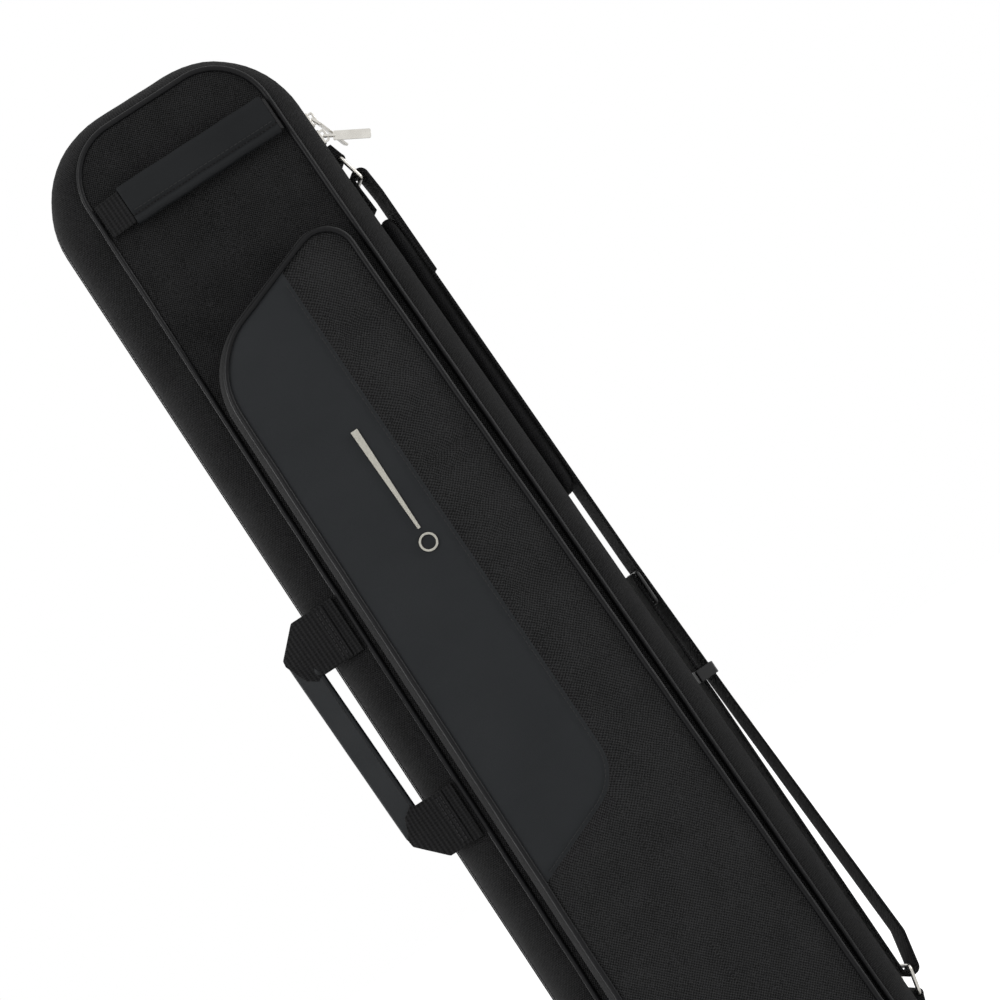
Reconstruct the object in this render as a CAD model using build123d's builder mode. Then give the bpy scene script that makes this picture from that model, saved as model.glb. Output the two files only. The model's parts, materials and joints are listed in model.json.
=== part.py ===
from build123d import *
from collections import namedtuple
from math import atan, cos, radians, sin, tan
import os

# A soft cue case, standing upright on its base. Millimetres, +Z up, the front faces -Y.
# Depths are drawn from the closing zip. Each finished piece is then set forward by base_middle,
# so that the origin is the middle of the back half's flat base, on the floor.

# ---- Shell ----
length = 835.0              # base to top, measured on the zip line
base_width = 192.0          # across the zip line at the base
top_width = 173.0           # across the zip line at the top
corner_radius = 50.0
top_corner_radius = 62.0
back_depth = 38.0           # zip line to the edge of the back gusset
lid_depth = 31.0            # zip line to the edge of the front gusset
padding = 6.0               # wall of a gusset: two skins over foam
panel_thickness = 4.0
piping_diameter = 4.6
gap = 0.3                   # between neighbours that move apart

# How far the gussets draw in from the zip line, at their shoulder and at the panel's edge.
shoulder_inset = 5.0
shoulder_run = 9.0          # depth between the shoulder and the panel's edge
shoulder_drop = 2.5
lid_side_inset = 16.0
lid_extra_taper = 6.0       # the front panel narrows this much more towards the top
lid_top_inset = 8.5
lid_top_shift = 4.0         # the front panel's top sits a little towards the hinge
lid_corner_radius = 32.0
lid_top_radius = 40.0
back_side_inset = 12.0
back_top_inset = 9.0
back_corner_radius = 38.0
back_top_radius = 46.0
base_rise = 3.0             # the panels' lower edges clear the floor
base_trim = 0.5             # the gussets are drawn this much lower and cut off level with the floor

# ---- Main zip and the fabric hinge beside it ----
zip_half_width = 9.0
tape_thickness = 1.6
tape_recess = 0.8
coil_width = 3.0
coil_height = 1.8
hinge_low = 84.0            # the hinge runs between the two strap tabs
hinge_high = length - 93
zip_end_length = 40.0       # closed zip past each end of the hinge
hinge_thickness = 3.0

# ---- Front pocket ----
pocket_depth = 24.0         # front panel to the edge of the pocket's gusset
pocket_base_width = base_width - 50
pocket_top_width = top_width - 52.5
pocket_left_height = length - 171
pocket_right_height = length - 128
pocket_low = 7.0
pocket_grow = 1.0           # the pocket is this much wider at its root, on the sides and top
pocket_corner_radius = 30.0
pocket_shoulder_radius = 54.0
pocket_apex_radius = 21.0
pocket_wall = 3.5
pocket_panel_thickness = 3.0
pocket_zip_width = 8.0
pocket_hinge_low = 78.0
pocket_hinge_drop = 42.0    # hinge ends this far below the pocket's right-hand height
seam_x = 12.4               # upright seam between the leatherette and the nylon
seam_corner_z = length * 0.376
seam_slope = 21.0           # degrees, the seam's run down to the left edge
seam_radius = 33.0
emblem_height = 0.7
emblem_x = -6.0
emblem_low = pocket_left_height - 172
ball_radius = 6.0
ball_line = 1.4             # width of the ball's outline
cue_tip = 1.0               # half widths of the cue's two ends
cue_butt = 2.4
cue_length = 72.0
cue_clear = 4.0             # cue to ball

# ---- Inside ----
butt_diameter = 34.0
shaft_diameter = 17.0
channel_wall = 3.5
channel_low = 24.0
channel_length = length - 65
tray_floor = 3.0
tray_set_back = 1.0         # from the gusset's edge to the tray's face
band_width = 30.0
band_thickness = 1.2
band_heights = (length * 0.275, length * 0.72)
mesh_height = length / 2
mesh_low = 70.0
mesh_thickness = 1.2
mesh_stand_off = 12.0
binding_width = 12.0

# ---- Grab handle across the front panel ----
grab_z = length - 61
grab_height = 27.0
grab_thickness = 5.0
grab_left = 44.0 - top_width / 2
grab_right = top_width / 2 - 22.7
grab_stand_off = 6.0        # finger gap between the panel and the wrap
grab_corner = 1.5
webbing_thickness = 2.4

# ---- Side carry handle ----
handle_webbing_width = 38.0
handle_low = length / 2 - 87.5
handle_high = handle_low + 174
handle_reach_low = 44.0
handle_reach_high = 50.0
handle_angle = 24.0         # degrees, how far back the handle leans from the front plane
grip_width = 17.0
grip_thickness = 6.0
mitre = 18.0
grip_share = 0.62           # part of the webbing's width that the grip leaves bare
handle_set_back = 2.0       # the handle's webbing starts this far behind the front seam
handle_seam_gap = 1.0
handle_tip = 0.5

# ---- Shoulder strap and its rings ----
strap_width = 38.0
strap_set_back = 17.0       # zip line to the middle of the strap
strap_thickness = 2.0
ring_wire = 2.8
ring_play = 1.0             # each end of the ring past the webbing
ring_length = 18.0
ring_lean = 13.0            # degrees from upright
tab_length = 11.0
tab_skin = 1.5
strap_off = 10.3            # body to the strap's inner face, where the pad lies between
pad_high = length - 148
pad_low = pad_high - 213
pad_width = 48.0
pad_y = 19.0
pad_thickness = 9.6
tail_end = pad_high - 47
adjuster_z = pad_low - 74
keeper_z = adjuster_z - 65
buckle_wire = 2.6
buckle_height = 22.0
eye_play = 2.4              # ring to the webbing folded round it
inner_leg = 5.6             # body to the middle of the strap's leg that comes back up
keeper_half_depth = 6.6
keeper_wall = 1.5
keeper_height = 8.0
tab_inset = 10.0            # ring bars from the hinge's ends
upper_bar_off = 3.4         # body to the bars' middles
lower_bar_off = 4.2

# ---- Zip sliders and pulls ----
slider_length = 10.5
slider_width = 6.6
slider_height = 2.4
bridge_width = 2.4
bridge_wire = 1.2
bridge_rise = 2.4
pull_bar = 1.2
main_pull_length = 24.0
main_pull_width = 6.0
pocket_pull_length = 8.0
pocket_pull_width = 6.4
pull_thickness = 1.4
pull_arm = 6.5
pull_lap = 1.0
pull_corner = 1.0
upper_slider_z = length - 72
lower_slider_z = length - 85
upper_pull_drop = 66.0      # degrees below level
lower_pull_drop = 30.0
upper_pull_yaw = 30.0       # the two pulls lie crossed, the upper one turned to the back
pocket_side_slider_z = 40.0
pocket_base_slider_x = pocket_base_width / 2 - 31
pocket_pull_angle = 55.0    # degrees out from hanging straight down

# ---- Worked out from the above ----
half_gap = gap / 2
base_middle = (zip_half_width + back_depth - shoulder_run) / 2     # zip line to the middle of the flat base
side_lean = (base_width - top_width) / 2 / length
panel_face = -lid_depth - panel_thickness
pocket_edge = panel_face - pocket_depth
pocket_root = panel_face - pocket_zip_width
piping_radius = piping_diameter / 2

Edge = namedtuple("Edge", "depth base top low high shift radius top_radius")

rim = Edge(0.0, base_width, top_width, 0.0, length, 0.0, corner_radius, top_corner_radius)


def shoulder(depth):
    return Edge(depth, base_width - 2 * shoulder_inset, top_width - 2 * shoulder_inset,
                -base_trim, length - shoulder_drop, 0.0,
                corner_radius - shoulder_inset, top_corner_radius - shoulder_inset)


lid_shoulder = shoulder(-lid_depth + shoulder_run)
back_shoulder = shoulder(back_depth - shoulder_run)
lid_edge = Edge(-lid_depth, base_width - 2 * lid_side_inset,
                top_width - 2 * lid_side_inset - lid_extra_taper,
                base_rise, length - lid_top_inset, lid_top_shift, lid_corner_radius, lid_top_radius)
back_edge = Edge(back_depth, base_width - 2 * back_side_inset, top_width - 2 * back_side_inset,
                 base_rise, length - back_top_inset, 0.0, back_corner_radius, back_top_radius)


def rim_x(z):
    """Right-hand side of the zip line at height z."""
    return base_width / 2 - side_lean * z


def upright(depth):
    """Plane across the case at this depth: X to the right, Z up, facing the front."""
    return Plane.XZ.offset(-depth)


def outline(edge, inset=0.0):
    """Round-cornered outline of one edge of the shell, drawn flat."""
    with BuildSketch() as face:
        with BuildLine():
            FilletPolyline(
                (-edge.base / 2, edge.low),
                (edge.base / 2, edge.low),
                (edge.shift + edge.top / 2, edge.high),
                (edge.shift - edge.top / 2, edge.high),
                radius=[edge.radius, edge.radius, edge.top_radius, edge.top_radius],
                close=True,
            )
        make_face()
        if inset:
            offset(amount=-inset)
    return face.sketch


def pocket_outline(grow=0.0, inset=0.0):
    """Outline of the pocket, drawn flat: a slanted top, a round shoulder and a tight apex."""
    with BuildSketch() as face:
        with BuildLine():
            FilletPolyline(
                (-pocket_base_width / 2 - grow, pocket_low),
                (pocket_base_width / 2 + grow, pocket_low),
                (pocket_top_width / 2 + grow, pocket_right_height + grow),
                (-pocket_top_width / 2 - grow, pocket_left_height + grow),
                radius=[pocket_corner_radius, pocket_corner_radius, pocket_apex_radius, pocket_shoulder_radius],
                close=True,
            )
        make_face()
        if inset:
            offset(amount=-inset)
    return face.sketch


def placed(depth, flat):
    """The same flat outline on the upright plane at this depth."""
    with BuildSketch(upright(depth)) as face:
        add(flat)
    return face.sketch


def sections(edges, inset=0.0):
    return [placed(edge.depth, outline(edge, inset)) for edge in edges]


def save(part, name):
    """Set the finished piece in its frame and write it."""
    finished = part.moved(Location((0, -base_middle, 0)))
    finished.label = name
    export_step(finished, f"parts/{name}.step")


os.makedirs("parts", exist_ok=True)

# ================= Back half =================
back_edges = [rim._replace(depth=zip_half_width + half_gap, low=-base_trim), back_shoulder, back_edge]

with BuildPart() as back_gusset:
    loft(sections(back_edges), ruled=True)
    loft(sections(back_edges, padding), ruled=True, mode=Mode.SUBTRACT)
    split(bisect_by=Plane.XY)
save(back_gusset.part, "back_gusset")

with BuildPart() as back_panel:
    with BuildSketch(upright(back_depth)):
        add(outline(back_edge, piping_diameter))
    extrude(amount=-panel_thickness)
save(back_panel.part, "back_panel")


def piping(depth, flat):
    """Round cord along a flat outline, with its centre at this depth."""
    path = placed(depth, flat).wire()
    with BuildPart() as cord:
        with BuildSketch(Plane(origin=path @ 0, z_dir=path % 0)):
            Circle(piping_radius)
        sweep(path=path)
    return cord.part


save(piping(back_depth + piping_radius, outline(back_edge, piping_radius)), "back_piping")


def ring_band(depth_from, depth_to, flat_outer, flat_inner):
    """Band of the outline's shape, between two depths."""
    with BuildPart() as band:
        with BuildSketch(upright(depth_to)):
            add(flat_outer)
            add(flat_inner, mode=Mode.SUBTRACT)
        extrude(amount=depth_to - depth_from)
    return band.part


def zip_tape(depth_from, depth_to):
    return ring_band(depth_from, depth_to, outline(rim, tape_recess), outline(rim, tape_recess + tape_thickness))


def zip_coil(depth_from, depth_to):
    recess = tape_recess + tape_thickness
    return ring_band(depth_from, depth_to, outline(rim, recess), outline(rim, recess + coil_height))


# The lid's half of the zip stops at the ends of the hinge, where the closed ends take over.
zip_end_low = hinge_low - zip_end_length
zip_end_high = hinge_high + zip_end_length


def hinge_side(low, high, clear=0.0):
    """Region round the right-hand side between two heights."""
    with BuildPart() as region:
        with BuildSketch(Plane.XY.offset(low - clear)):
            with Locations((base_width / 2, 0)):
                Rectangle(corner_radius * 2, back_depth * 4)
        extrude(amount=high - low + 2 * clear)
    return region.part


with BuildPart() as back_zip_tape:
    add(zip_tape(half_gap, zip_half_width))
    add(hinge_side(zip_end_low, zip_end_high), mode=Mode.SUBTRACT)
save(back_zip_tape.part, "back_zip_tape")

with BuildPart() as back_zip_coil:
    add(zip_coil(half_gap, coil_width))
    add(hinge_side(zip_end_low, zip_end_high), mode=Mode.SUBTRACT)
save(back_zip_coil.part, "back_zip_coil")

for name, low, high in (("zip_end_lower", zip_end_low, hinge_low), ("zip_end_upper", hinge_high, zip_end_high)):
    with BuildPart() as zip_end:
        add(zip_tape(-zip_half_width, zip_half_width))
        add(zip_coil(-coil_width, coil_width))
        add(hinge_side(low, high), mode=Mode.INTERSECT)
    save(zip_end.part, name)

with BuildPart() as hinge_strip:
    add(ring_band(-zip_half_width, zip_half_width, outline(rim, tape_recess), outline(rim, tape_recess + hinge_thickness)))
    add(hinge_side(hinge_low, hinge_high), mode=Mode.INTERSECT)
save(hinge_strip.part, "hinge_strip")

# ================= Cue tray and its bands =================
tray_edges = [
    rim._replace(depth=zip_half_width + half_gap),
    back_shoulder,
    back_edge._replace(depth=back_depth - panel_thickness),
]
tray_face = zip_half_width + half_gap + tray_set_back
channels = []
cursor = -(butt_diameter * 2 + shaft_diameter * 4 + channel_wall * 5) / 2
for width in (shaft_diameter, shaft_diameter, butt_diameter, butt_diameter, shaft_diameter, shaft_diameter):
    channels.append((cursor + width / 2, width))
    cursor += width + channel_wall

with BuildPart() as cue_tray:
    loft(sections(tray_edges, padding + gap), ruled=True)
    split(bisect_by=upright(tray_face), keep=Keep.BOTTOM)
    for centre, width in channels:
        centre_depth = min(tray_face + width / 2, back_depth - panel_thickness - tray_floor - width / 2)
        with BuildSketch(Plane.XY.offset(channel_low)):
            with Locations((centre, centre_depth)):
                Circle(width / 2)
            with Locations((centre, centre_depth - width)):
                Rectangle(width, width * 2)
        extrude(amount=channel_length, mode=Mode.SUBTRACT)
save(cue_tray.part, "cue_tray")

# The elastic bands lie across the tray's face and are sewn to the gusset's edge.
with BuildPart() as hold_down_bands:
    for z in band_heights:
        with BuildSketch(Plane.XY.offset(z)):
            with Locations((0, tray_face - gap / 2 - band_thickness / 2)):
                Rectangle(2 * (rim_x(z + band_width) - padding - gap), band_thickness)
        extrude(amount=band_width)
save(hold_down_bands.part, "hold_down_bands")

# ================= Lid =================
lid_edges = [rim._replace(depth=-zip_half_width - half_gap, low=-base_trim), lid_shoulder, lid_edge]

with BuildPart() as front_gusset:
    loft(sections(lid_edges), ruled=True)
    loft(sections(lid_edges, padding), ruled=True, mode=Mode.SUBTRACT)
    split(bisect_by=Plane.XY)
save(front_gusset.part, "front_gusset")

with BuildPart() as front_panel:
    with BuildSketch(upright(-lid_depth)):
        add(outline(lid_edge, piping_diameter))
    extrude(amount=panel_thickness)
save(front_panel.part, "front_panel")

save(piping(-lid_depth - piping_radius, outline(lid_edge, piping_radius)), "front_piping")

with BuildPart() as lid_zip_tape:
    add(zip_tape(-zip_half_width, -half_gap))
    add(hinge_side(zip_end_low, zip_end_high, gap), mode=Mode.SUBTRACT)
save(lid_zip_tape.part, "lid_zip_tape")

with BuildPart() as lid_zip_coil:
    add(zip_coil(-coil_width, -half_gap))
    add(hinge_side(zip_end_low, zip_end_high, gap), mode=Mode.SUBTRACT)
save(lid_zip_coil.part, "lid_zip_coil")

# The accessory pocket of mesh stands a little off the inside of the front panel.
mesh_flat = outline(lid_edge, padding + gap)
mesh_skirt = outline(lid_edge, padding + gap + mesh_thickness)
mesh_middle = mesh_low + mesh_height / 2

with BuildPart() as mesh_pocket:
    with BuildSketch(upright(-lid_depth + mesh_stand_off)):
        add(mesh_flat)
        with Locations((0, mesh_middle)):
            Rectangle(base_width, mesh_height, mode=Mode.INTERSECT)
    extrude(amount=mesh_thickness)
    with BuildSketch(upright(-lid_depth + mesh_stand_off - mesh_thickness)):
        add(mesh_flat)
        add(mesh_skirt, mode=Mode.SUBTRACT)
        with Locations((0, mesh_middle)):
            Rectangle(base_width, mesh_height, mode=Mode.INTERSECT)
        with Locations((0, mesh_low + mesh_thickness / 2)):
            Rectangle(lid_edge.top, mesh_thickness)
    extrude(amount=mesh_stand_off - mesh_thickness)
save(mesh_pocket.part, "mesh_pocket")

with BuildPart() as mesh_binding:
    with BuildSketch(upright(-lid_depth + mesh_stand_off + mesh_thickness)):
        add(mesh_flat)
        with Locations((0, mesh_low + mesh_height - binding_width / 2)):
            Rectangle(base_width, binding_width, mode=Mode.INTERSECT)
    extrude(amount=mesh_thickness)
save(mesh_binding.part, "mesh_binding")

# ================= Pocket =================
pocket_hinge_high = pocket_right_height - pocket_hinge_drop
pocket_root_flat = pocket_outline(pocket_grow)
pocket_split = (panel_face + pocket_root) / 2


def pocket_band(depth_from, depth_to):
    return ring_band(depth_from, depth_to, pocket_outline(pocket_grow, tape_recess),
                     pocket_outline(pocket_grow, tape_recess + pocket_wall))


def pocket_side(low, high, clear=0.0):
    """Region round the pocket's right-hand side between two heights."""
    with BuildPart() as region:
        with BuildSketch(Plane.XY.offset(low - clear)):
            with Locations((pocket_base_width / 2, panel_face)):
                Rectangle(2 * pocket_corner_radius, pocket_depth * 3)
        extrude(amount=high - low + 2 * clear)
    return region.part


with BuildPart() as pocket_zip_base:
    add(pocket_band(pocket_split + half_gap, panel_face))
    add(pocket_side(0, pocket_hinge_high), mode=Mode.SUBTRACT)
save(pocket_zip_base.part, "pocket_zip_base")

with BuildPart() as pocket_hinge_strip:
    add(pocket_band(pocket_root, panel_face))
    add(pocket_side(pocket_hinge_low, pocket_hinge_high), mode=Mode.INTERSECT)
save(pocket_hinge_strip.part, "pocket_hinge_strip")

with BuildPart() as pocket_zip_end:
    add(pocket_band(pocket_root, panel_face))
    add(pocket_side(0, pocket_hinge_low), mode=Mode.INTERSECT)
save(pocket_zip_end.part, "pocket_zip_end")

with BuildPart() as pocket_zip_flap:
    add(pocket_band(pocket_root, pocket_split - half_gap))
    add(pocket_side(0, pocket_hinge_high, gap), mode=Mode.SUBTRACT)
save(pocket_zip_flap.part, "pocket_zip_flap")

flap_root = pocket_root - gap
with BuildPart() as pocket_gusset:
    loft([placed(flap_root, pocket_root_flat), placed(pocket_edge, pocket_outline())], ruled=True)
    loft([placed(flap_root, pocket_outline(pocket_grow, pocket_wall + tape_recess)),
          placed(pocket_edge, pocket_outline(inset=padding))], ruled=True, mode=Mode.SUBTRACT)
save(pocket_gusset.part, "pocket_gusset")

# The seam runs down from the slanted top, turns, and slopes away to the left-hand edge.
far = base_width
seam_fall = (seam_x + far) * tan(radians(seam_slope))
with BuildSketch() as smooth_side:
    with BuildLine():
        FilletPolyline((seam_x, length), (seam_x, seam_corner_z), (-far, seam_corner_z - seam_fall),
                       radius=seam_radius)
        Polyline((-far, seam_corner_z - seam_fall), (-far, length), (seam_x, length))
    make_face()
pocket_panel_flat = pocket_outline(inset=piping_diameter)

for name, mode in (("pocket_smooth_panel", Mode.INTERSECT), ("pocket_nylon_panel", Mode.SUBTRACT)):
    with BuildPart() as pocket_panel:
        with BuildSketch(upright(pocket_edge)):
            add(pocket_panel_flat)
            add(smooth_side.sketch, mode=mode)
        extrude(amount=pocket_panel_thickness)
    save(pocket_panel.part, name)

save(piping(pocket_edge - piping_radius, pocket_outline(inset=piping_radius)), "pocket_piping")

# Plain motif in place of any lettering: a slender cue standing over a ball.
with BuildPart() as emblem:
    with BuildSketch(upright(pocket_edge - pocket_panel_thickness)):
        with Locations((emblem_x, emblem_low + ball_radius)):
            Circle(ball_radius)
            Circle(ball_radius - ball_line, mode=Mode.SUBTRACT)
        with BuildLine():
            cue_foot = emblem_low + 2 * ball_radius + cue_clear
            Polyline(
                (emblem_x - cue_tip, cue_foot),
                (emblem_x + cue_tip, cue_foot),
                (emblem_x + cue_butt, cue_foot + cue_length),
                (emblem_x - cue_butt, cue_foot + cue_length),
                close=True,
            )
        make_face()
    extrude(amount=emblem_height)
save(emblem.part, "emblem")

# ================= Grab handle =================
grab_back = panel_face - grab_stand_off
with BuildPart() as grab_wrap:
    with BuildSketch(upright(grab_back)):
        with Locations(((grab_left + grab_right) / 2, grab_z)):
            RectangleRounded(grab_right - grab_left, grab_height, grab_corner)
    extrude(amount=grab_thickness)
    fillet(grab_wrap.edges().filter_by(Axis.X), grab_thickness / 2 - 0.4)
    with BuildSketch(Plane.YZ.offset(grab_left)):
        with Locations((grab_back - grab_thickness / 2, grab_z)):
            Rectangle(webbing_thickness, grab_height - 2 * webbing_thickness)
    extrude(amount=grab_right - grab_left, mode=Mode.SUBTRACT)
save(grab_wrap.part, "grab_wrap")

with BuildPart() as grab_core:
    with BuildSketch(Plane.YZ.offset(grab_left)):
        with Locations((grab_back - grab_thickness / 2, grab_z)):
            Rectangle(webbing_thickness, grab_height - 2 * webbing_thickness)
    extrude(amount=grab_right - grab_left)
save(grab_core.part, "grab_core")


def panel_side_x(z, side):
    """Inner edge of the front piping at height z, on the left (-1) or right (+1)."""
    share = (z - lid_edge.low) / (lid_edge.high - lid_edge.low)
    half = lid_edge.base / 2 + (lid_edge.top / 2 - lid_edge.base / 2) * share
    return lid_edge.shift * share + side * (half - piping_diameter)


# Short tongues of webbing come out of the side seams up to the wrap.
with BuildPart() as grab_ends:
    for wrap_end, side in ((grab_left, -1), (grab_right, 1)):
        seam = panel_side_x(grab_z + grab_height / 2, side)
        with BuildSketch(Plane.XY.offset(grab_z - grab_height / 2 + webbing_thickness)):
            with BuildLine():
                Polyline(
                    (seam - side * gap, panel_face),
                    (seam - side * gap, panel_face - webbing_thickness),
                    (wrap_end + side * gap, grab_back - grab_thickness / 2 - webbing_thickness / 2),
                    (wrap_end + side * gap, grab_back - grab_thickness / 2 + webbing_thickness / 2),
                    close=True,
                )
            make_face()
        extrude(amount=grab_height - 2 * webbing_thickness)
save(grab_ends.part, "grab_ends")

# ================= Side handle =================
# It is drawn on its own plane, which starts at the front seam and leans back beside the gusset:
# across is the reach from the seam, up follows the seam.
handle_mid = (handle_low + handle_high) / 2
seam_run = atan(((lid_edge.base - lid_edge.top) / 2 + lid_edge.shift) / (lid_edge.high - lid_edge.low))
seam_mid_x = panel_side_x(handle_mid, -1) - piping_diameter - handle_seam_gap
seam_up = Vector(sin(seam_run), 0, cos(seam_run))
level_out = Vector(-cos(radians(handle_angle)), sin(radians(handle_angle)), 0)
out = (level_out - seam_up * level_out.dot(seam_up)).normalized()
handle_origin = Vector(seam_mid_x, -lid_depth - handle_set_back, handle_mid)
handle_plane = Plane(origin=handle_origin, x_dir=out, z_dir=out.cross(seam_up))
half_span = (handle_high - handle_low) / 2
inner_span = half_span - handle_webbing_width
reach_slope = (handle_reach_high - handle_reach_low) / (2 * half_span)


def reach(v):
    return handle_reach_low + reach_slope * (v + half_span)


grip_end = half_span - handle_webbing_width * grip_share
with BuildPart() as handle_webbing:
    for side in (-1, 1):
        inner_v = side * inner_span
        outer_v = side * half_span
        with BuildSketch(handle_plane):
            with BuildLine():
                Polyline(
                    (handle_seam_gap, inner_v),
                    (reach(inner_v) - grip_width, inner_v),
                    (reach(side * grip_end) - grip_width, side * grip_end),
                    (reach(side * grip_end), side * grip_end),
                    (reach(outer_v) - handle_tip, outer_v - side * mitre),
                    (reach(outer_v) - mitre, outer_v),
                    (handle_seam_gap, outer_v),
                    close=True,
                )
            make_face()
        extrude(amount=webbing_thickness / 2, both=True)
save(handle_webbing.part, "handle_webbing")

with BuildPart() as handle_grip:
    with BuildSketch(handle_plane):
        with BuildLine():
            Polyline(
                (reach(-grip_end) - grip_width, -grip_end),
                (reach(-grip_end), -grip_end),
                (reach(grip_end), grip_end),
                (reach(grip_end) - grip_width, grip_end),
                close=True,
            )
        make_face()
    extrude(amount=grip_thickness / 2, both=True)
    fillet(handle_grip.edges().filter_by(lambda e: e.length > handle_webbing_width), grip_thickness / 2 - 0.5)
save(handle_grip.part, "handle_grip")

# ================= Shoulder strap =================
# Profiles are drawn across the strap, in the plane of X and Z, and made as wide as the webbing.
strap_front = strap_set_back - strap_width / 2


def webbing(thickness, points, radii, width=strap_width):
    """Webbing whose middle follows these points, with its corners rounded."""
    with BuildPart() as piece:
        with BuildSketch(upright(strap_set_back - width / 2)):
            with BuildLine():
                FilletPolyline(*points, radius=radii)
            trace(line_width=thickness)
        extrude(amount=-width)
    return piece.part


strap_mid = strap_off + strap_thickness / 2
upper_bar = (rim_x(hinge_high - tab_inset) + upper_bar_off, hinge_high - tab_inset)
lower_bar = (rim_x(hinge_low + tab_inset) + lower_bar_off, hinge_low + tab_inset)
lean = radians(ring_lean)
upper_ring_end = (upper_bar[0] + ring_length * sin(lean), upper_bar[1] - ring_length * cos(lean))
lower_ring_end = (lower_bar[0] + ring_length * sin(lean), lower_bar[1] + ring_length * cos(lean))


def make_ring(name, bar, far_end):
    """Wire ring: a rectangle of round wire, hung on its bar."""
    reach_vector = Vector(far_end[0] - bar[0], 0, far_end[1] - bar[1])
    plane = Plane(origin=(bar[0], strap_set_back, bar[1]), x_dir=(0, 1, 0), z_dir=Vector(0, 1, 0).cross(reach_vector))
    half = strap_width / 2 + ring_play + ring_wire / 2
    with BuildPart() as ring:
        with BuildLine(plane):
            path = FilletPolyline((-half, 0), (half, 0), (half, ring_length), (-half, ring_length),
                                  radius=ring_wire * 0.9, close=True)
        with BuildSketch(Plane(origin=path @ 0, z_dir=path % 0)):
            Circle(ring_wire / 2)
        sweep(path=path.wire())
    save(ring.part, name)


make_ring("strap_ring_upper", upper_bar, upper_ring_end)
make_ring("strap_ring_lower", lower_bar, lower_ring_end)

# Folded webbing tabs, sewn beside the hinge's ends, hold the rings.
eye_radius = ring_wire / 2 + gap
for name, bar, side in (("strap_tab_upper", upper_bar, 1), ("strap_tab_lower", lower_bar, -1)):
    with BuildPart() as tab:
        far_z = bar[1] + side * tab_length
        with BuildSketch(upright(strap_front)):
            with Locations(bar):
                Circle(eye_radius + tab_skin)
            with BuildLine():
                Polyline(
                    (bar[0] - eye_radius - tab_skin, bar[1]),
                    (bar[0] + eye_radius + tab_skin, bar[1]),
                    (rim_x(far_z) + gap + 2 * tab_skin, far_z),
                    (rim_x(far_z) + gap, far_z),
                    close=True,
                )
            make_face()
            with Locations(bar):
                Circle(eye_radius, mode=Mode.SUBTRACT)
        extrude(amount=-strap_width)
    save(tab.part, name)

# The strap's upper end folds over the ring and comes back down as a sewn tail.
eye_half = ring_wire / 2 + eye_play + strap_thickness / 2
eye_top = upper_ring_end[1] + eye_half + 1.0
inner_x = upper_ring_end[0] - eye_half
outer_x = upper_ring_end[0] + eye_half
tail_mid = strap_off + 1.5 * strap_thickness
save(webbing(strap_thickness, [
    (inner_x + 1.0, pad_high + 5),
    (inner_x, upper_ring_end[1] - 4),
    (inner_x, eye_top),
    (outer_x, eye_top),
    (rim_x(pad_high) + tail_mid, pad_high + 14),
    (rim_x(tail_end) + tail_mid, tail_end),
], [20.0, eye_half * 0.9, eye_half * 0.9, 30.0]), "strap_upper_fold")

# The long run goes down past the pad and through the lower ring, and comes back up to the adjuster.
leg_low = lower_ring_end[1] - eye_half - 1.0
save(webbing(strap_thickness, [
    (rim_x(pad_high) + strap_mid, pad_high - 3),
    (rim_x(adjuster_z + 20) + strap_mid, adjuster_z + 20),
    (rim_x(keeper_z - 20) + strap_mid + 1.8, keeper_z - 20),
    (lower_ring_end[0] + 10.0, lower_ring_end[1] + 20),
    (lower_ring_end[0] + eye_half, leg_low),
    (lower_ring_end[0] - eye_half, leg_low),
    (lower_ring_end[0] - eye_half, lower_ring_end[1] + 30),
    (rim_x(keeper_z - 20) + inner_leg, keeper_z - 20),
    (rim_x(adjuster_z + 12) + inner_leg, adjuster_z + 12),
], [150.0, 150.0, 12.0, eye_half * 0.9, eye_half * 0.9, 30.0, 150.0]), "strap_webbing")

pad_mid_z = (pad_low + pad_high) / 2
pad_plane = Plane(origin=(rim_x(pad_mid_z) + gap * 2, pad_y, pad_mid_z), x_dir=(0, 1, 0), z_dir=(1, 0, side_lean))
with BuildPart() as strap_pad:
    with BuildSketch(pad_plane):
        RectangleRounded(pad_width, pad_high - pad_low, pad_width / 4)
    extrude(amount=pad_thickness - gap * 2)
save(strap_pad.part, "strap_pad")


# A wire buckle lies between the strap's two legs.
buckle_half = strap_width / 2 + ring_play + buckle_wire / 2
buckle_x = rim_x(adjuster_z) + (inner_leg + strap_mid) / 2
with BuildPart() as strap_adjuster:
    with BuildLine(Plane(origin=(buckle_x, strap_set_back, adjuster_z), x_dir=(0, 1, 0), z_dir=(1, 0, 0))):
        path = FilletPolyline((-buckle_half, -buckle_height / 2), (buckle_half, -buckle_height / 2),
                              (buckle_half, buckle_height / 2), (-buckle_half, buckle_height / 2),
                              radius=buckle_wire, close=True)
    with BuildSketch(Plane(origin=path @ 0, z_dir=path % 0)):
        Circle(buckle_wire / 2)
    sweep(path=path.wire())
save(strap_adjuster.part, "strap_adjuster")

keeper_x = rim_x(keeper_z) + (inner_leg + strap_mid) / 2 + 0.6
with BuildPart() as strap_keeper:
    with BuildSketch(Plane.XY.offset(keeper_z - keeper_height / 2)):
        with Locations((keeper_x, strap_set_back)):
            RectangleRounded(2 * keeper_half_depth, strap_width + 2 * ring_play + 4, keeper_wall)
            Rectangle(2 * (keeper_half_depth - keeper_wall), strap_width + 2 * ring_play, mode=Mode.SUBTRACT)
    extrude(amount=keeper_height)
save(strap_keeper.part, "strap_keeper")

# ================= Sliders and pulls =================


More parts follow.
